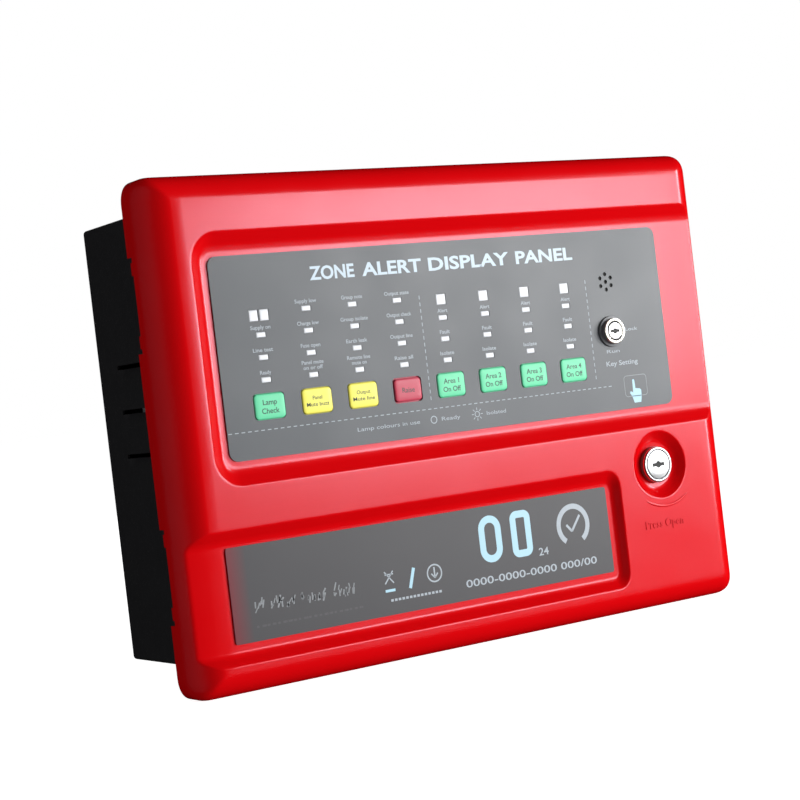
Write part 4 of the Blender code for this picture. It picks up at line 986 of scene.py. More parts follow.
def louver(bm, side, top):
    """A pressed louver in a side wall: a lip pushed in under the slit, sloping back out to the wall."""
    y0, y1 = LOUVER_SPAN
    wall = side * BOX_W / 2
    slit, low = top - LOUVER_SLIT, top - LOUVER_SLIT - LOUVER_PRESS
    ends = [0, 0.02, 0.06, 0.1, 0.14, 0.3, 0.5, 0.7, 0.86, 0.9, 0.94, 0.98, 1]
    steps = [i / 10 for i in range(11)]
    skins = []
    for offset in (0, SHEET):
        grid = []
        for u in ends:
            edge = min(1, min(u, 1 - u) / 0.12)
            edge = edge * edge * (3 - 2 * edge)
            column = []
            for v in steps:
                slope = (1 - v) ** 1.2
                inward = 3 * MM * slope * edge + offset
                column.append(bm.verts.new((wall - side * inward, y0 + (y1 - y0) * u,
                                            slit + (low - slit) * v)))
            grid.append(column)
        skins.append(grid)
    outer, inner = skins
    for grid in skins:
        for a, b in zip(grid, grid[1:]):
            for j in range(len(steps) - 1):
                bm.faces.new((a[j], b[j], b[j + 1], a[j + 1]))
    rim = [(i, 0) for i in range(len(ends) - 1)] + [(len(ends) - 1, j) for j in range(len(steps) - 1)]
    rim += [(i, len(steps) - 1) for i in range(len(ends) - 1, 0, -1)] + [(0,
                                                                          j) for j in range(len(steps) - 1,
                                                                                            0, -1)]
    for k, (i, j) in enumerate(rim):
        m, n = rim[(k + 1) % len(rim)]
        bm.faces.new((outer[i][j], outer[m][n], inner[m][n], inner[i][j]))


def back_box():
    w, h, bend = BOX_W / 2, BOX_H / 2, 2.2 * MM
    rings = [(BOX_RIM, 0), (BOX_RIM + 0.3 * MM, 0)]
    rings += [(-bend * (1 - math.sin(math.radians(a))), bend * (1 - math.cos(math.radians(a))))
              for a in range(0, 91, 15)]
    loops = [[Vector((x, y, z)) for x, z in rounded(-w + i, w - i, -h + i, h - i, 2 * MM, 6)] for y,
             i in rings]
    bm = loft(loops, caps=False)
    bm.verts.ensure_lookup_table()
    count = len(loops[0])
    bm.faces.new(bm.verts[-count:])
    tray = piece("steel_tray", outward(bm), BLACK_SHEET, None)
    for face in tray.data.polygons:
        if face.center.y > -0.2 * MM and face.normal.y < 0:
            raise ValueError("the tray's faces point in")
    thick = tray.modifiers.new("sheet", "SOLIDIFY")
    thick.thickness = SHEET
    thick.offset = -1
    thick.use_even_offset = True
    applied(tray)
    cutter = bmesh.new()
    for side in (-1, 1):
        for top in LOUVER_TOPS:
            x = sorted((side * (w + MM), side * (w - 3 * MM)))
            box(x, LOUVER_SPAN, (top - LOUVER_SLIT - LOUVER_PRESS, top), bm=cutter)
        lathe((side * 60 * MM, -35 * MM), [(10.3 * MM, h - 4 * MM), (10.3 * MM, h + 2 * MM)], 48, "Z",
              bm=cutter)
        for z in (-100 * MM, 100 * MM):
            lathe((side * 158 * MM, z), [(3 * MM, -4 * MM), (3 * MM, 2 * MM)], 32, bm=cutter)
    box((-25 * MM, 25 * MM), (-5 * MM, 3 * MM), (80 * MM, 100 * MM), 4 * MM, bm=cutter)
    cut(tray, cutter)
    extra = bmesh.new()
    for side in (-1, 1):
        for top in LOUVER_TOPS:
            louver(extra, side, top)
    add_shape(tray, outward(extra))
    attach(tray, "case")
    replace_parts(tray, "back_box")


# Hardware


def strip(path, thick, z, corner=1.2 * MM, steps=5):
    """A bent sheet: the path in (x, y) with its bends rounded, given a thickness and extruded in z."""
    line = [Vector(path[0])]
    for before, at, after in zip(path, path[1:], path[2:]):
        at, before, after = Vector(at), Vector(before), Vector(after)
        start, end = at + (before - at).normalized() * corner, at + (after - at).normalized() * corner
        line += [start.lerp(at, t).lerp(at.lerp(end, t), t) for t in (i / steps for i in range(steps + 1))]
    line.append(Vector(path[-1]))
    left, right = [], []
    for i, point in enumerate(line):
        way = (line[min(i + 1, len(line) - 1)] - line[max(i - 1, 0)]).normalized()
        side = Vector((-way.y, way.x)) * thick / 2
        left.append(point + side)
        right.append(point - side)
    outline = [(p.x, p.y) for p in left + right[::-1]]
    return loft([[Vector((a, b, height)) for a, b in outline] for height in z])


def hex_ring(centre, flats, y, limit, count=60):
    """A hexagon's outline whose corners are cut back to a circle, as a chamfer leaves them."""
    ring = []
    for i in range(count):
        angle = 2 * math.pi * i / count
        turn = (angle + math.pi / 6) % (math.pi / 3) - math.pi / 6
        radius = min(flats / 2 / math.cos(turn), limit)
        ring.append(Vector((centre[0] + radius * math.cos(angle), y, centre[1] + radius * math.sin(angle))))
    return ring


def nut(node, centre, flats, bore, body):
    """A hexagon nut with chamfered corners and a threaded bore."""
    low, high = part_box(node)
    y0, y1, corner, chamfer = low.y, high.y, flats / math.sqrt(3), 0.5 * MM
    rings = [hex_ring(centre, flats, y0, flats / 2), hex_ring(centre, flats, y0 + chamfer, corner),
             hex_ring(centre, flats, y1 - chamfer, corner), hex_ring(centre, flats, y1, flats / 2)]
    turns = max(2, round((y1 - y0) / MM))
    for i in range(turns * 2, -1, -1):
        radius = bore + (0.3 * MM if i % 2 else 0)
        y = y0 + (y1 - y0) * i / (turns * 2)
        rings.append([Vector((a, y, b)) for a, b in circle(*centre, radius, 60)])
    made = piece(node + "_hex", outward(loft(rings, closed=True)), ZINC, body)
    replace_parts(made, node)


def screw_head(bm, centre, y, radius, tall, slot_deep=0.6):
    """A pan head with a cross recess, its top towards -Y, its seat at y."""
    top = y - tall
    head = lathe(centre,
                 [(radius, y), (radius, y - tall * 0.4), (radius * 0.85, y - tall * 0.8),
                  (radius * 0.6, top)], 32)
    mesh = bpy.data.meshes.new("head")
    outward(head).to_mesh(mesh)
    head.free()
    obj = bpy.data.objects.new("head", mesh)
    bpy.context.scene.collection.objects.link(obj)
    x, z = centre
    long, wide = radius * 0.55, radius * 0.13
    cross = box((x - long, x + long), (top - MM, top + tall * slot_deep), (z - wide, z + wide))
    box((x - wide, x + wide), (top - MM, top + tall * slot_deep), (z - long, z + long), bm=cross)
    cut(obj, cross)
    bm.from_mesh(obj.data)
    used = obj.data
    bpy.data.objects.remove(obj, do_unlink=True)
    bpy.data.meshes.remove(used)


def board_screws():
    for number in range(1, 5):
        node = f"board_screw_{number}"
        low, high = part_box(node)
        centre = ((low.x + high.x) / 2, (low.z + high.z) / 2)
        seat = high.y - 1.6 * MM
        bm = bmesh.new()
        profile = [(2.8 * MM, seat), (2.8 * MM, seat + 0.7 * MM), (2.4 * MM, seat + 1.3 * MM),
                   (1.6 * MM, high.y)]
        shank = []
        turns = 7
        for i in range(turns):
            y = seat - (i + 0.5) * (seat - low.y) / turns
            shank += [(1.3 * MM, y), (1.05 * MM, y - 0.4 * MM)]
        rings = [(0.5 * MM, low.y)] + shank[::-1] + [(1.3 * MM, seat)] + profile
        lathe(centre, rings, 28, bm=bm)
        made = piece(node + "_turned", outward(bm), ZINC, None)
        x, z = centre
        for across, up in ((1.6, 0.35), (0.35, 1.6)):
            slot_ = box((x - across * MM, x + across * MM), (high.y - 0.9 * MM, high.y + MM),
                        (z - up * MM, z + up * MM))
            cut(made, slot_)
        mesh_sharp(made)
        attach(made, "cover")
        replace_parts(made, node)


def hinges():
    for name, middle in (("upper", HINGE_Z), ("lower", -HINGE_Z)):
        z = (middle - 15 * MM, middle + 15 * MM)
        knuckle = [(2.5 * MM, z[0]), (2.9 * MM, z[0] + 0.4 * MM), (2.9 * MM, z[1] - 0.4 * MM),
                   (2.5 * MM, z[1]),
                   (1.8 * MM, z[1]), (1.8 * MM, z[0])]
        bm = lathe((HINGE_X, HINGE_Y), knuckle, 40, "Z", closed=True)
        over, inside = BOX_RIM - 0.3 * MM, -BOX_W / 2 + SHEET + 0.3 * MM
        root = HINGE_X + 2.5 * MM
        path = [(root, HINGE_Y + 0.8 * MM), (root, over - 0.6 * MM), (inside + 0.6 * MM, over - 0.6 * MM),
                (inside + 0.6 * MM, BOX_RIM + 20 * MM)]
        merge(bm, strip(path, SHEET, z, 1 * MM))
        for height in (middle - 8 * MM, middle + 8 * MM):
            rivet = [(2.2 * MM, inside + 1.2 * MM), (1.9 * MM, inside + 1.7 * MM),
                     (1.1 * MM, inside + 2 * MM)]
            lathe((BOX_RIM + 12 * MM, height), rivet, 24, "X", bm=bm)
        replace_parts(piece("hinge_leaf_" + name, outward(bm), ZINC, "case"), "box_hinge_" + name)
        half = 22 * MM
        pin = [(1.1 * MM, middle - half), (1.5 * MM, middle - half + 0.4 * MM),
               (1.5 * MM, middle + half - 0.5 * MM),
               (1.05 * MM, middle + half)]
        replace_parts(piece("hinge_rod_" + name, outward(lathe((HINGE_X, HINGE_Y), pin, 32, "Z")), BRUSHED,
                          "cover"), "hinge_pin_" + name)


def latch():
    """The keeper on the box and the cam that turns in behind it."""
    low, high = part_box("latch_keeper")
    wall, tab = high.x - 0.6 * MM, low.y + 0.6 * MM
    bm = strip([(wall, high.y), (wall, tab), (low.x, tab)], SHEET, (low.z, high.z), 1.6 * MM)
    for height in (LOCK[1] - 7 * MM, LOCK[1] + 7 * MM):
        rivet = [(2.4 * MM, wall - 0.6 * MM), (2.1 * MM, wall - 1.2 * MM), (1.2 * MM, wall - 1.6 * MM)]
        lathe((BOX_RIM + 18 * MM, height), rivet, 24, "X", bm=bm)
    keeper = piece("keeper_angle", outward(bm), ZINC, "case")
    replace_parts(bevel(keeper, 0.2 * MM), "latch_keeper")
    low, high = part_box("lock_cam")
    x = LOCK[0]
    ends = [(x + 7 * MM * math.cos(math.radians(a)), LOCK[1] + MM + 7 * MM * math.sin(math.radians(a)))
            for a in range(0, 181, 12)]
    tip = [(x + 7 * MM * math.cos(math.radians(a)), low.z + 5 * MM + 5 * MM * math.sin(math.radians(a)))
           for a in range(180, 361, 12)]
    square = rounded(x - 3.4 * MM, x + 3.4 * MM, LOCK[1] - 3.4 * MM, LOCK[1] + 3.4 * MM, 0.5 * MM, 3)
    cam = piece("cam_arm", filled(ends + tip, [square], (low.y, high.y)), ZINC, "lock")
    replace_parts(bevel(cam, 0.35 * MM, 3), "lock_cam")
    nut("lock_cam_nut", LOCK, 12 * MM, 4.1 * MM, "lock")
    nut("lock_nut", LOCK, 24 * MM, 9.25 * MM, "cover")
    nut("keyswitch_nut", KEYSWITCH, 19 * MM, 7.25 * MM, "cover")


def grommets():
    for number, x in enumerate((-60 * MM, 60 * MM), 1):
        low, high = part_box(f"cable_grommet_{number}")
        inner, outer = high.z - 3.6 * MM, high.z - 1.8 * MM
        profile = [(6.9 * MM, low.z), (6.5 * MM, low.z + 0.5 * MM), (6.5 * MM, high.z - 0.5 * MM),
                   (6.9 * MM, high.z),
                   (11.4 * MM, high.z), (12.6 * MM, high.z - 0.6 * MM), (13 * MM, outer + 0.2 * MM),
                   (10 * MM, outer),
                   (10 * MM, inner + 0.3 * MM), (13 * MM, inner), (12.7 * MM, low.z + 0.7 * MM),
                   (11.6 * MM, low.z)]
        ring = piece(f"grommet_ring_{number}", outward(lathe((x, -35 * MM), profile, 64, "Z", closed=True)),
                     RUBBER,
                     "case")
        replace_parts(ring, f"cable_grommet_{number}")


def standoffs():
    for number in range(1, 5):
        node = f"board_standoff_{number}"
        low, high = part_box(node)
        centre = ((low.x + high.x) / 2, (low.z + high.z) / 2)
        front, back = -11.9 * MM, -9.7 * MM
        profile = [(3.1 * MM, high.y), (3.5 * MM, high.y - 0.4 * MM), (3.5 * MM, high.y - 1.8 * MM),
                   (2.7 * MM, high.y - 2.4 * MM), (2.7 * MM, back + MM), (3.4 * MM, back + 0.4 * MM),
                   (3.4 * MM, back),
                   (1.7 * MM, back), (1.7 * MM, front), (2.5 * MM, front), (2.6 * MM, front - 0.4 * MM),
                   (1.9 * MM, front - 1.6 * MM), (1.2 * MM, low.y)]
        post = piece(f"standoff_post_{number}", outward(lathe(centre, profile, 32)), NYLON, None)
        x, z = centre
        cut(post, box((x - 0.4 * MM, x + 0.4 * MM), (low.y - MM, front + 0.8 * MM), (z - 4 * MM, z + 4 * MM)))
        mesh_sharp(post)
        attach(post, "case")
        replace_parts(post, node)


# Boards and what stands on them


def component(bm_body, bm_lead, x, z, y, long, thick, upright=False):
    """A two-lead part lying on a board: a waisted barrel and its bent leads; y is the board's face."""
    centre, profile = y - thick / 2 - 0.3 * MM, []
    for i in range(13):
        t = i / 12
        swell = 0.5 if i in (0, 12) else 0.9 + 0.1 * math.cos(4 * math.pi * t)
        profile.append((thick / 2 * swell, (t - 0.5) * long))
    axis, across = ("Z", x) if upright else ("X", z)
    start = z if upright else x
    shifted = [(radius, start + along) for radius, along in profile]
    lathe((across, centre) if upright else (centre, across), shifted, 16, axis, bm=bm_body)
    for side in (-1, 1):
        end = start + side * (long / 2 + 1.6 * MM)
        inner = start + side * long / 2
        wire = [(0.3 * MM, min(inner, end)), (0.3 * MM, max(inner, end))]
        lathe((across, centre) if upright else (centre, across), wire, 8, axis, bm=bm_lead)
        foot = (x, end) if upright else (end, z)
        lathe(foot, [(0.3 * MM, centre), (0.3 * MM, y)], 8, bm=bm_lead)
        lathe(foot, [(1 * MM, y), (0.8 * MM, y - 0.25 * MM), (0.35 * MM, y - 0.5 * MM)], 12, bm=bm_lead)


def chip(bm_body, bm_lead, x, z, y, half_x, half_z, tall, legs):
    """A flat package with bent legs along its two long sides; it stands off the face y towards -Y."""
    rings = []
    for depth, inset in ((0.4, 0.2), (tall / MM * 0.5, 0.0), (tall / MM, 0.25)):
        outline = rounded(x - half_x + inset * MM, x + half_x - inset * MM, z - half_z + inset * MM,
                          z + half_z - inset * MM, 0.3 * MM, 2)
        rings.append([Vector((a, y - depth * MM, b)) for a, b in outline])
    loft(rings, bm=bm_body)
    for i in range(legs):
        px = x - half_x + (i + 0.5) * 2 * half_x / legs
        wide = half_x / legs * 0.5
        for side in (-1, 1):
            edge = z + side * half_z
            inner, outer = sorted((edge - side * 0.3 * MM, edge + side * 0.8 * MM))
            box((px - wide, px + wide), (y - tall * 0.6, y - tall * 0.45), (inner, outer), bm=bm_lead)
            inner, outer = sorted((edge + side * 0.65 * MM, edge + side * 0.85 * MM))
            box((px - wide, px + wide), (y - tall * 0.6, y), (inner, outer), bm=bm_lead)


def tracks(bm, x, z, y, count, rng):
    """Thin raised copper runs under the mask, each with a bend."""
    for i in range(count):
        px = x[0] + (x[1] - x[0]) * (i + 0.5) / count
        bend = z[0] + (z[1] - z[0]) * rng.uniform(0.25, 0.75)
        shift = rng.choice((-1, 1)) * (x[1] - x[0]) / count * 0.45
        for x0, x1, z0, z1 in ((px, px, z[0], bend), (px, px + shift, bend, bend),
                               (px + shift, px + shift, bend, z[1])):
            half = 0.35 * MM
            box((min(x0, x1) - half, max(x0, x1) + half), (y - 0.06 * MM, y + 0.02 * MM),
                (z0 - half, z1 + half), bm=bm)


def main_board():
    low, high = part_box("main_board")
    rng = random.Random(7)
    holes = [circle((a.x + b.x) / 2, (a.z + b.z) / 2, 2 * MM, 32)
             for a, b in (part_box(f"board_standoff_{number}") for number in range(1, 5))]
    sheet = filled(rounded(low.x, high.x, low.z, high.z, 1.5 * MM), holes, (low.y, high.y))
    tracks(sheet, (-100 * MM, 20 * MM), (34 * MM, 54 * MM), low.y, 24, rng)
    tracks(sheet, (30 * MM, 115 * MM), (36 * MM, 54 * MM), low.y, 16, rng)
    tracks(sheet, (-66 * MM, 84 * MM), (-34 * MM, -22 * MM), low.y, 28, rng)
    board = piece("main_board_laminate", sheet, BOARD, "case")
    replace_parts(board, "main_board")
    body, lead, black = bmesh.new(), bmesh.new(), bmesh.new()
    for i in range(12):
        component(body, lead, (-60 + 11 * i) * MM, -8 * MM, low.y, 6 * MM, 2.2 * MM, upright=True)
    for i in range(6):
        component(body, lead, (-92 + 10 * i) * MM, 25 * MM, low.y, 6 * MM, 2.2 * MM, upright=True)
    for i in range(3):
        chip(black, lead, (-10 + 34 * i) * MM, -30 * MM, low.y, 9 * MM, 3 * MM, 2.6 * MM, 7)
    for x, z in ((-24, 2), (36, -4), (46, -4), (-88, 9), (110, 24)):
        can = [(3.1 * MM, low.y - 0.2 * MM), (3.1 * MM, low.y - 1.4 * MM), (2.8 * MM, low.y - 1.8 * MM),
               (3.1 * MM, low.y - 2.2 * MM), (3.1 * MM, low.y - 8.6 * MM), (2.7 * MM, low.y - 9 * MM)]
        lathe((x * MM, z * MM), can, 32, bm=black)
    for a, b in (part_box(f"board_standoff_{number}") for number in range(1, 5)):
        centre = ((a.x + b.x) / 2, (a.z + b.z) / 2)
        merge(lead, filled(circle(*centre, 4.2 * MM, 40), [circle(*centre, 2.9 * MM, 40)],
                           (low.y - 0.05 * MM, low.y + 0.05 * MM)))
    piece("resistors", outward(body), PALE, "case")
    piece("leads_and_pads", outward(lead), SOLDER, "case")
    piece("small_packages", outward(black), BLACK_PLASTIC, "case")


def display_board():
    low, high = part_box("display_board")
    rng = random.Random(11)
    front, back = high.y - 1.6 * MM, high.y
    screws = [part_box(f"board_screw_{number}") for number in range(1, 5)]
    holes = [circle((a.x + b.x) / 2, (a.z + b.z) / 2, 1.7 * MM, 24) for a, b in screws]
    holes.append(circle(*KEYSWITCH, 12 * MM, 64))
    sheet = filled(rounded(low.x, high.x, low.z, high.z, 1 * MM), holes, (front, back))
    flip = [(-110, -10, 26, 40), (20, 80, 24, 42)]
    for x0, x1, z0, z1 in flip:
        tracks(sheet, (x0 * MM, x1 * MM), (z0 * MM, z1 * MM), back + 0.04 * MM, 18, rng)
    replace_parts(piece("display_laminate", sheet, BOARD, "cover"), "display_board")
    switches, lead = bmesh.new(), bmesh.new()
    for column in range(COLUMNS):
        x = FIRST_COLUMN + column * COLUMN_PITCH
        box((x - 3 * MM, x + 3 * MM), (front - 2.2 * MM, front), (KEY_Z - 3 * MM, KEY_Z + 3 * MM), 0.4 * MM,
            bm=switches)
        lathe((x, KEY_Z),
              [(1.7 * MM, front - 2.2 * MM), (1.7 * MM, front - 2.9 * MM), (1.4 * MM, front - 3 * MM)], 24,
              bm=switches)
        for side_x in (-1, 1):
            for side_z in (-1, 1):
                foot = (x + side_x * 3.2 * MM, KEY_Z + side_z * 2.2 * MM)
                lathe(foot, [(0.9 * MM, back), (0.7 * MM, back + 0.3 * MM), (0.25 * MM, back + 0.9 * MM)],
                      12, bm=lead)
    for x, z, _, _ in window_places():
        for side in (-1, 1):
            foot = (x + side * 1.27 * MM, z)
            lathe(foot, [(0.8 * MM, back), (0.6 * MM, back + 0.3 * MM), (0.25 * MM, back + 0.9 * MM)], 12,
                  bm=lead)
    for i in range(4):
        x, z = (-96 + 40 * i) * MM, 53 * MM
        half_x, half_z = 5.5 * MM, 2 * MM
        outline = rounded(x - half_x, x + half_x, z - half_z, z + half_z, 0.3 * MM, 2)
        loft([[Vector((a, y, b)) for a, b in outline] for y in (back + 0.1 * MM, back + 1.6 * MM)],
             bm=switches)
        for leg in range(8):
            px = x - half_x + (leg + 0.5) * 2 * half_x / 8
            for side in (-1, 1):
                inner, outer = sorted((z + side * 1.8 * MM, z + side * 3 * MM))
                box((px - 0.22 * MM, px + 0.22 * MM), (back, back + 0.35 * MM), (inner, outer), bm=lead)
    piece("tact_switches", outward(switches), BLACK_PLASTIC, "cover")
    piece("display_solder", outward(lead), SOLDER, "cover")


def terminals(node, count, paint):
    """A row of screw terminals: a stepped moulding with a wire entry and a screw well for each way."""
    low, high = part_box(node)
    step, shelf = low.z + (high.z - low.z) * 0.6, high.y + (low.y - high.y) * 0.7
    outline = [(high.y, low.z), (low.y + 0.4 * MM, low.z), (low.y, low.z + 0.4 * MM),
               (low.y, step - 0.4 * MM),
               (low.y + 0.4 * MM, step), (shelf, high.z), (high.y, high.z)]
    bm = loft([[Vector((x, a, b)) for a, b in outline] for x in (low.x, high.x)])
    body = piece(node + "_moulding", outward(bm), paint, None)
    pitch = (high.x - low.x) / count
    holes, screws = bmesh.new(), bmesh.new()
    for i in range(count):
        x = low.x + (i + 0.5) * pitch
        well = (x, low.z + (step - low.z) * 0.55)
        lathe(well, [(pitch * 0.3, low.y - MM), (pitch * 0.3, low.y + 3.5 * MM)], 24, bm=holes)
        middle = (shelf + high.y) / 2
        box((x - pitch * 0.3, x + pitch * 0.3), (middle - 2.4 * MM, middle + 2.4 * MM),
            (high.z - 4 * MM, high.z + MM),
            bm=holes)
        profile = [(pitch * 0.26, low.y + 3.4 * MM), (pitch * 0.26, low.y + 2.2 * MM),
                   (pitch * 0.2, low.y + 1.9 * MM)]
        lathe(well, profile, 24, bm=screws)
    for i in range(1, count):
        x = low.x + i * pitch
        box((x - 0.15 * MM, x + 0.15 * MM), (low.y - MM, low.y + 0.35 * MM), (low.z - MM, step + MM),
            bm=holes)
    cut(body, holes)
    mesh_sharp(body)
    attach(body, "case")
    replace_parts(body, node)
    heads = piece(node + "_screws", outward(screws), SOLDER, None)
    slots_cut = bmesh.new()
    for i in range(count):
        x = low.x + (i + 0.5) * pitch
        z = low.z + (step - low.z) * 0.55
        box((x - pitch * 0.24, x + pitch * 0.24), (low.y, low.y + 2.5 * MM),
            (z - 0.3 * MM, z + 0.3 * MM), bm=slots_cut)
    cut(heads, slots_cut)
    mesh_sharp(heads)
    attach(heads, "case")


def moulding(node, paint, body="case", corner=0.8 * MM, edge=0.4 * MM, name=None):
    """A block the size of its CAD node with rounded corners and softened edges."""
    low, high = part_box(node)
    made = piece(name or node + "_case",
                 box((low.x, high.x), (low.y, high.y), (low.z, high.z), corner, steps=5), paint,
                 body)
    outward_mesh(made)
    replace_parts(bevel(made, edge, 3), node)
    return low, high


def outward_mesh(obj):
    bm = bmesh.new()
    bm.from_mesh(obj.data)
    outward(bm).to_mesh(obj.data)
    bm.free()


def board_parts():
    terminals("zone_terminals", 16, GREEN_PLASTIC)
    terminals("sounder_terminals", 11, GREEN_PLASTIC)
    terminals("mains_terminals", 4, NYLON)
    for node in ("relay_alarm", "relay_fault"):
        low, high = moulding(node, BLACK_PLASTIC)
        rib = box((low.x + 2 * MM, high.x - 2 * MM), (low.y - 0.25 * MM, low.y + 0.2 * MM),
                  (low.z + 2 * MM, high.z - 2 * MM), 1.2 * MM)
        piece(node + "_lid", outward(rib), BLACK_PLASTIC, "case")
    low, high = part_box("processor_chip")
    packed, legs = bmesh.new(), bmesh.new()
    middle = ((low.x + high.x) / 2, (low.z + high.z) / 2)
    chip(packed, legs, *middle, high.y + 0.3 * MM, (high.x - low.x) / 2, (high.z - low.z) / 2 - 0.9 * MM,
         high.y - low.y, 20)
    made = piece("processor_package", outward(packed), BLACK_PLASTIC, "case")
    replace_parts(made, "processor_chip")
    piece("processor_legs", outward(legs), SOLDER, "case")
    mark = lathe((low.x + 2 * MM, low.z + 3 * MM),
                 [(0.8 * MM, low.y + 0.05 * MM), (0.8 * MM, low.y - 0.02 * MM)], 24)
    piece("pin_one_dot", outward(mark), INK, "case")
    low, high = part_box("smoothing_capacitor")
    centre = ((low.x + high.x) / 2, (low.z + high.z) / 2)
    can = [(8.6 * MM, high.y), (9 * MM, high.y - 0.5 * MM), (9 * MM, high.y - 3 * MM),
           (8.3 * MM, high.y - 3.8 * MM),
           (9 * MM, high.y - 4.6 * MM), (9 * MM, low.y + 0.7 * MM), (8.7 * MM, low.y + 0.2 * MM),
           (7.8 * MM, low.y)]
    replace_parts(piece("capacitor_can", outward(lathe(centre, can, 64)), SLEEVE, "case"),
                "smoothing_capacitor")
    top = lathe(centre,
                [(7.4 * MM, low.y + 0.1 * MM), (7.4 * MM, low.y - 0.05 * MM), (7 * MM, low.y - 0.1 * MM)], 48)
    lid = piece("capacitor_lid", outward(top), SOLDER, "case")
    x, z = centre
    vent = box((x - 5 * MM, x + 5 * MM), (low.y - MM, low.y + 0.02 * MM), (z - 0.25 * MM, z + 0.25 * MM))
    cut(lid, vent)
    low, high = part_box("fuse_holder")
    z = (low.z + high.z) / 2
    holder = bmesh.new()
    box((low.x, high.x), (high.y - 3 * MM, high.y), (low.z, high.z), 1.5 * MM, bm=holder)
    for x0, x1 in ((low.x, low.x + 3 * MM), (high.x - 3 * MM, high.x)):
        box((x0, x1), (low.y + 2 * MM, high.y), (low.z + MM, high.z - MM), 0.8 * MM, bm=holder)
    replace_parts(bevel(piece("fuse_base", outward(holder), BLACK_PLASTIC, "case"), 0.3 * MM),
                "fuse_holder")
    y = (low.y + high.y) / 2 - 1.5 * MM
    caps, glass = bmesh.new(), bmesh.new()
    for x0, x1 in ((low.x + 4 * MM, low.x + 9 * MM), (high.x - 9 * MM, high.x - 4 * MM)):
        lathe((y, z),
              [(2.2 * MM, x0), (2.6 * MM, x0 + 0.4 * MM), (2.6 * MM, x1 - 0.4 * MM), (2.4 * MM, x1)], 32, "X",
              bm=caps)
        box((x0 + MM, x1 - MM), (y - 1.6 * MM, high.y - 2.9 * MM), (z - 3.2 * MM, z - 2.5 * MM), bm=caps)
        box((x0 + MM, x1 - MM), (y - 1.6 * MM, high.y - 2.9 * MM), (z + 2.5 * MM, z + 3.2 * MM), bm=caps)
    lathe((y, z), [(2.3 * MM, low.x + 9 * MM), (2.3 * MM, high.x - 9 * MM)], 32, "X", bm=glass)
    piece("fuse_caps", outward(caps), SOLDER, "case")
    piece("fuse_tube", outward(glass), LENS, "case")


def sockets():
    """The two shrouded headers, each with its cable plug pressed in and two latches."""
    for node, body, sign in (("main_ribbon_socket", "case", -1), ("display_ribbon_socket", "cover", 1)):
        low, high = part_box(node)
        y0, y1 = (low.y, high.y)
        seat, tip = (y1, y0) if sign < 0 else (y0, y1)
        bm = bmesh.new()
        x, z = (low.x, high.x), (low.z, high.z)
        far = seat + (tip - seat) * 0.72
        box(x, sorted((seat, far)), z, 0.5 * MM, bm=bm)
        box((x[0] + 1.2 * MM, x[1] - 1.2 * MM), sorted((far, tip)), (z[0] + 2.4 * MM, z[1] - 2.4 * MM),
            0.4 * MM, bm=bm)
        for a, b in ((z[0], z[0] + 1.6 * MM), (z[1] - 1.6 * MM, z[1])):
            box((x[0] + 2.4 * MM, x[1] - 2.4 * MM), sorted((far, tip)), (a, b), 0.4 * MM, bm=bm)
        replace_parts(bevel(piece(node + "_shroud", outward(bm), BLACK_PLASTIC, body),
                          0.2 * MM), node)


def buzzer():
    low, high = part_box("buzzer")
    profile = [(1.6 * MM, low.y), (7.9 * MM, low.y), (8.4 * MM, low.y + 0.4 * MM),
               (8.5 * MM, low.y + 0.8 * MM),
               (8.5 * MM, high.y - 0.4 * MM), (8.1 * MM, high.y), (1.6 * MM, high.y),
               (1.6 * MM, high.y - 2 * MM)]
    made = lathe(SPEAKER, profile, 64, closed=True)
    lathe(SPEAKER, [(1.6 * MM, low.y + MM), (1.6 * MM, high.y - 0.6 * MM)], 64, bm=made)
    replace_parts(piece("buzzer_can", outward(made), BLACK_PLASTIC, "cover"), "buzzer")


# Power supply and batteries


def transformer():
    low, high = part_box("transformer_core")
    cx, cz = (low.x + high.x) / 2, (low.z + high.z) / 2
    windows = [rounded(cx + side * 13.5 * MM - 4.5 * MM, cx + side * 13.5 * MM + 4.5 * MM, cz - 13.5 * MM,
                       cz + 13.5 * MM, 0.3 * MM, 2) for side in (-1, 1)]
    core = piece("core_stack",
                 filled(rounded(low.x, high.x, low.z, high.z, 0.8 * MM, 3), windows, (low.y, high.y)),
                 IRON, "case")
    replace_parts(bevel(core, 0.25 * MM), "transformer_core")
    bolts = bmesh.new()
    for side_x in (-1, 1):
        for side_z in (-1, 1):
            centre = (cx + side_x * 23.5 * MM, cz + side_z * 19 * MM)
            rings = [hex_ring(centre, 4.6 * MM, y, limit, 36)
                     for y,
                     limit in ((low.y, 2.65 * MM), (low.y - 1.2 * MM, 2.65 * MM),
                               (low.y - 1.6 * MM, 2.3 * MM))]
            loft(rings, bm=bolts)
    piece("core_bolts", outward(bolts), ZINC, "case")
    low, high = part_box("transformer_coil")
    hole = rounded(cx - 9.3 * MM, cx + 9.3 * MM, -33.3 * MM, -12.7 * MM, 0.4 * MM, 2)
    coil = bmesh.new()
    flange = 1.4 * MM
    for z0, z1 in ((low.z, low.z + flange), (high.z - flange, high.z)):
        merge(coil, filled(rounded(low.x, high.x, low.y, high.y, 1.5 * MM, 4), [hole], (z0, z1), "Z"))
    piece("bobbin_flanges", coil, NYLON, "case")
    inset = 0.7 * MM
    wound = filled(rounded(low.x + inset, high.x - inset, low.y + inset, high.y - inset, 4 * MM, 8), [hole],
                   (low.z + flange, high.z - flange), "Z")
    lap = box((cx - 6 * MM, cx + 9 * MM), (low.y + inset - 0.15 * MM, low.y + inset + 0.1 * MM),
              (low.z + flange + MM, high.z - flange - MM))
    merge(wound, outward(lap))
    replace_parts(piece("coil_tape", wound, TAPE, "case"), "transformer_coil")


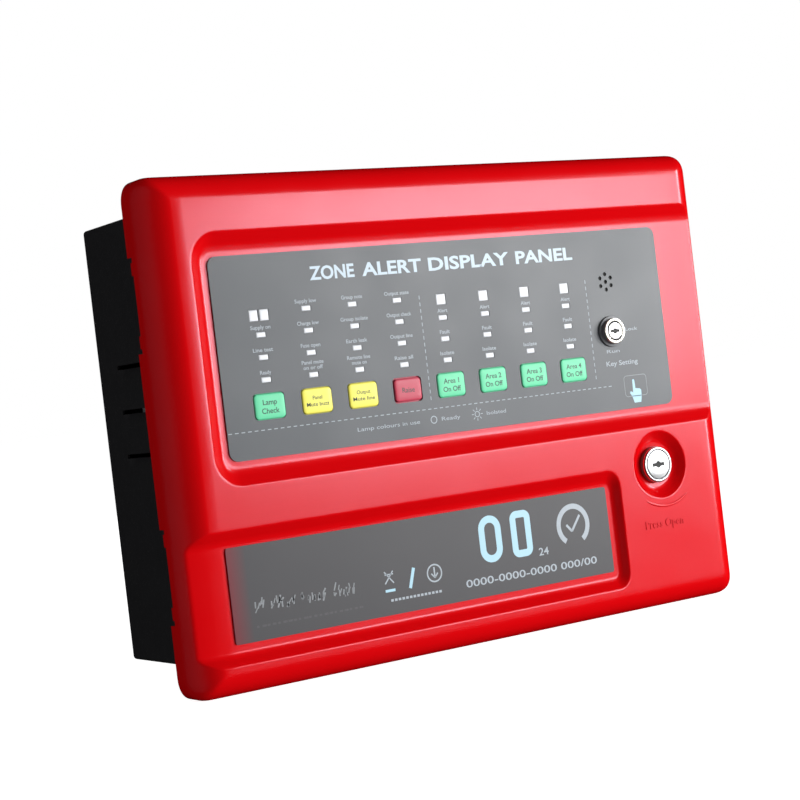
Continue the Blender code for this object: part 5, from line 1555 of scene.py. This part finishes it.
def earth_stud():
    low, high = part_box("earth_stud")
    centre = ((low.x + high.x) / 2, (low.z + high.z) / 2)
    profile = [(2 * MM, low.y), (2.5 * MM, low.y + 0.5 * MM)]
    turns = 9
    for i in range(turns):
        y = low.y + 0.8 * MM + i * 1.15 * MM
        profile += [(2.5 * MM, y), (2.2 * MM, y + 0.55 * MM)]
    profile += [(2.5 * MM, high.y - 2.7 * MM), (5 * MM, high.y - 2.7 * MM), (5 * MM, high.y)]
    bm = lathe(centre, profile, 40)
    loft([hex_ring(centre, 8 * MM, y, limit) for y, limit in
          ((high.y - 6.2 * MM, 4 * MM), (high.y - 5.8 * MM, 4.6 * MM), (high.y - 3.2 * MM, 4.6 * MM),
           (high.y - 2.8 * MM, 4 * MM))], bm=bm)
    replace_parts(piece("stud_and_nut", outward(bm), ZINC, "case"), "earth_stud")


def batteries():
    for node in ("battery_left", "battery_right"):
        low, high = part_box(node)
        lid, top = high.z - 9 * MM, high.z - 4.6 * MM
        x, y = (low.x, high.x), (low.y, high.y)
        levels = [(low.z, 0.6), (low.z + 0.6 * MM, 0), (lid - 0.5 * MM, 0), (lid, 0.5), (lid + 0.5 * MM, 0),
                  (top - 0.6 * MM, 0), (top, 0.6)]
        rings = []
        for z, inset in levels:
            inset *= MM
            outline = rounded(x[0] + inset, x[1] - inset, y[0] + inset, y[1] - inset, 2 * MM, 4)
            rings.append([Vector((a, b, z)) for a, b in outline])
        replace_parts(piece(node + "_case", outward(loft(rings)), BATTERY, "case"), node)
        for side, cap in ((-1, RUBBER), (1, RED_CAP)):
            px = (x[0] + x[1]) / 2 + side * 36 * MM
            py = y[0] + 12 * MM
            tab = bmesh.new()
            box((px - 2.4 * MM, px + 2.4 * MM), (py - 0.4 * MM, py + 0.4 * MM), (top - 0.5 * MM, high.z),
                0.6 * MM, "Y",
                bm=tab)
            piece(f"{node}_tab_{'plus' if side > 0 else 'minus'}", outward(tab), SOLDER, "case")
            base = box((px - 5 * MM, px + 5 * MM), (py - 4 * MM, py + 4 * MM),
                       (top - 0.3 * MM, top + 0.8 * MM), MM, "Z")
            piece(f"{node}_collar_{'plus' if side > 0 else 'minus'}", outward(base), cap, "case")
        grid = bmesh.new()
        for i in range(5):
            px = x[0] + (x[1] - x[0]) * (0.24 + 0.13 * i)
            box((px - 4.5 * MM, px + 4.5 * MM), (y[0] + 18 * MM, y[1] - 8 * MM),
                (top - 0.2 * MM, top + 0.3 * MM), MM, "Z",
                bm=grid)
        piece(node + "_vents", outward(grid), BATTERY, "case")
    low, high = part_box("battery_strap")
    foot, face = high.y - 0.6 * MM, low.y + 0.6 * MM
    path = [(low.x, foot), (-121.2 * MM, foot), (-121.2 * MM, face), (79.2 * MM, face), (79.2 * MM, foot),
            (high.x, foot)]
    bm = strip(path, SHEET, (low.z, high.z), 1.4 * MM)
    for x in (low.x + 5.5 * MM, high.x - 5.5 * MM):
        screw_head(bm, (x, (low.z + high.z) / 2), foot - 0.6 * MM, 3.2 * MM, 1.8 * MM)
    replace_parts(piece("strap_band", outward(bm), ZINC, "case"), "battery_strap")


def ribbon_cable():
    """The flat cable along its route, ridged over each core."""
    bends = [(-108, -20.4), (-108, -29), (-115, -36), (-127, -34), (-137, -26), (-149, -22), (-160, -28),
             (-163, -42),
             (-162, -57), (-157, -69), (-147, -75), (-136, -74.5), (-127, -74.5), (-123.5, -79.6)]
    knots = [Vector((x * MM, y * MM)) for x, y in bends]
    ends = [knots[0]] + knots + [knots[-1]]
    line = []
    for a, b, c, d in zip(ends, ends[1:], ends[2:], ends[3:]):
        line += [0.5 * (2 * b + (c - a) * t + (2 * a - 5 * b + 4 * c - d) * t * t + (3 * b - a - 3 * c + d) * t ** 3)
                 for t in (i / 10 for i in range(10))]
    line.append(knots[-1])
    cores, low, high = 17, 8 * MM, 30 * MM
    pitch = (high - low) / cores
    section = []
    for i in range(cores):
        section += [(low + (i + share) * pitch, 0.3 + 0.2 * math.sin(math.pi * share)) for share in (0.04,
                                                                                                     0.3,
                                                                                                     0.7,
                                                                                                     0.96)]
    outline = [(z, half * MM) for z, half in section] + [(z, -half * MM) for z, half in reversed(section)]
    rings = []
    for i, point in enumerate(line):
        way = (line[min(i + 1, len(line) - 1)] - line[max(i - 1, 0)]).normalized()
        side = Vector((-way.y, way.x))
        rings.append([Vector((point.x + side.x * half, point.y + side.y * half, z)) for z, half in outline])
    cable = piece("flat_cable", outward(loft(rings)), RIBBON, None, angle=50)
    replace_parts(cable, "ribbon_cable")
    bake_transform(cable)


# Studio and camera


def area(name, azimuth, elevation, distance, width, height, radiance, colour=(1, 1, 1), glossy=True):
    """A soft light at an angle round the object, facing it. Azimuth 0 is straight in front, 90 at the right."""
    a, e = math.radians(azimuth), math.radians(elevation)
    way = Vector((math.sin(a) * math.cos(e), -math.cos(a) * math.cos(e), math.sin(e)))
    data = bpy.data.lights.new(name, "AREA")
    data.shape = "RECTANGLE"
    data.size, data.size_y = width, height
    data.energy = radiance * math.pi * width * height
    data.color = colour
    lamp = bpy.data.objects.new(name, data)
    lamp.location = Vector((0, -0.06, 0)) + way * distance
    lamp.rotation_mode = "QUATERNION"
    lamp.rotation_quaternion = way.to_track_quat("Z", "Y")
    lamp.visible_camera = False
    lamp.visible_glossy = glossy
    bpy.context.scene.collection.objects.link(lamp)


def studio():
    """Two softboxes at the right that the gloss picks up, broad fills that it doesn't, and a white floor."""
    area("wash_softbox", 34.5, 5.8, 3.27, 1.12, 0.82, 10.5)
    area("core_strip", 54, 9, 3, 0.42, 1.4, 22)
    area("key_fill", 36, -7, 2, 1.2, 1.2, 8.1, glossy=False)
    area("left_fill", -80, 2, 1.7, 1.4, 1.4, 1.05, glossy=False)
    area("rear_fill", 180, 20, 1.7, 1.4, 1.4, 1, glossy=False)
    world = bpy.data.worlds.new("studio")
    bpy.context.scene.world = world
    world.use_nodes = True
    nodes, links = world.node_tree.nodes, world.node_tree.links
    path = nodes.new("ShaderNodeLightPath")
    brightness = nodes.new("ShaderNodeMix")
    brightness.inputs["A"].default_value = 0.0
    brightness.inputs["B"].default_value = 0.11
    links.new(path.outputs["Is Diffuse Ray"], brightness.inputs["Factor"])
    seen = nodes.new("ShaderNodeMath")
    seen.operation = "MAXIMUM"
    links.new(brightness.outputs["Result"], seen.inputs[0])
    links.new(path.outputs["Is Camera Ray"], seen.inputs[1])
    links.new(seen.outputs["Value"], nodes["Background"].inputs["Strength"])
    nodes["Background"].inputs["Color"].default_value = (1, 1, 1, 1)
    floor_bm = bmesh.new()
    size, z = 30, COVER_LOW.z - 0.3 * MM
    floor_bm.faces.new([floor_bm.verts.new((x * size, y * size, z)) for x,
                        y in ((-1, -1), (1, -1), (1, 1), (-1, 1))])
    white = look("studio_floor", (0.8, 0.8, 0.8), 0.7, shade=0.99, mottle=2, relief=0)
    shader = white.node_tree.nodes["Principled BSDF"]
    shader.inputs["Emission Color"].default_value = (1, 1, 1, 1)
    shader.inputs["Emission Strength"].default_value = 0.93
    floor = piece("studio_floor", floor_bm, white, None)
    floor.visible_glossy = False
    floor.visible_diffuse = False
    floor.visible_shadow = False


def camera():
    """The viewing angle: from the left at the object's own height, with a slight roll."""
    azimuth, elevation, roll = (math.radians(a) for a in (-32.88, 0.35, -6.74))
    back = Vector((math.sin(azimuth) * math.cos(elevation), -math.cos(azimuth) * math.cos(elevation),
                   math.sin(elevation)))
    right = (-back).cross(Vector((0, 0, 1))).normalized()
    up = right.cross(-back)
    c, s = math.cos(roll), math.sin(roll)
    right, up = right * c + up * s, up * c - right * s
    data = bpy.data.cameras.new("camera")
    data.sensor_width = 36
    data.lens = 84.86
    data.clip_start, data.clip_end = 0.05, 100
    cam = bpy.data.objects.new("camera", data)
    turn = Matrix((right, up, back)).transposed().to_4x4()
    target = Vector((-43.41 * MM, FRONT, 5.1 * MM)) - right * 0.55 * MM + up * 1 * MM
    cam.matrix_world = Matrix.Translation(target + back * 1013.4 * MM) @ turn
    bpy.context.scene.collection.objects.link(cam)
    bpy.context.scene.camera = cam
    bpy.context.scene.view_settings.view_transform = "Standard"


NODE_LOOKS = {
    "red_abs": RED, "black_steel": BLACK_SHEET, "zinc_steel": ZINC, "chrome": CHROME, "overlay_grey": FILM,
    "overlay_dark": DARK_FILM, "green_key": GREEN, "yellow_key": YELLOW, "red_key": RED_CAP,
    "white_lens": LENS,
    "circuit_board": BOARD, "black_plastic": BLACK_PLASTIC, "green_plastic": GREEN_PLASTIC, "nylon": NYLON,
    "battery_grey": BATTERY, "laminated_iron": IRON, "winding_tape": TAPE, "rubber": RUBBER,
    "ribbon_grey": RIBBON,
}


def paint_nodes():
    """Gives each CAD node that stays the fine material of its slot."""
    for entry in frame["record"]["subparts"]:
        for used in frame["nodes"][entry["node"]].material_slots:
            used.material = NODE_LOOKS[entry["material_slot"]]


def main():
    camera()
    studio()
    paint_nodes()
    front_cover()
    status_overlay()
    lower_overlay()
    light_guide()
    for column in range(COLUMNS):
        key_cap(column)
        key_legend(column)
    title()
    status_print()
    hand_mark()
    lower_print()
    moulded_marks()
    cam_lock()
    key_switch()
    back_box()
    board_screws()
    hinges()
    latch()
    grommets()
    standoffs()
    main_board()
    display_board()
    board_parts()
    sockets()
    buzzer()
    transformer()
    earth_stud()
    batteries()
    ribbon_cable()


main()
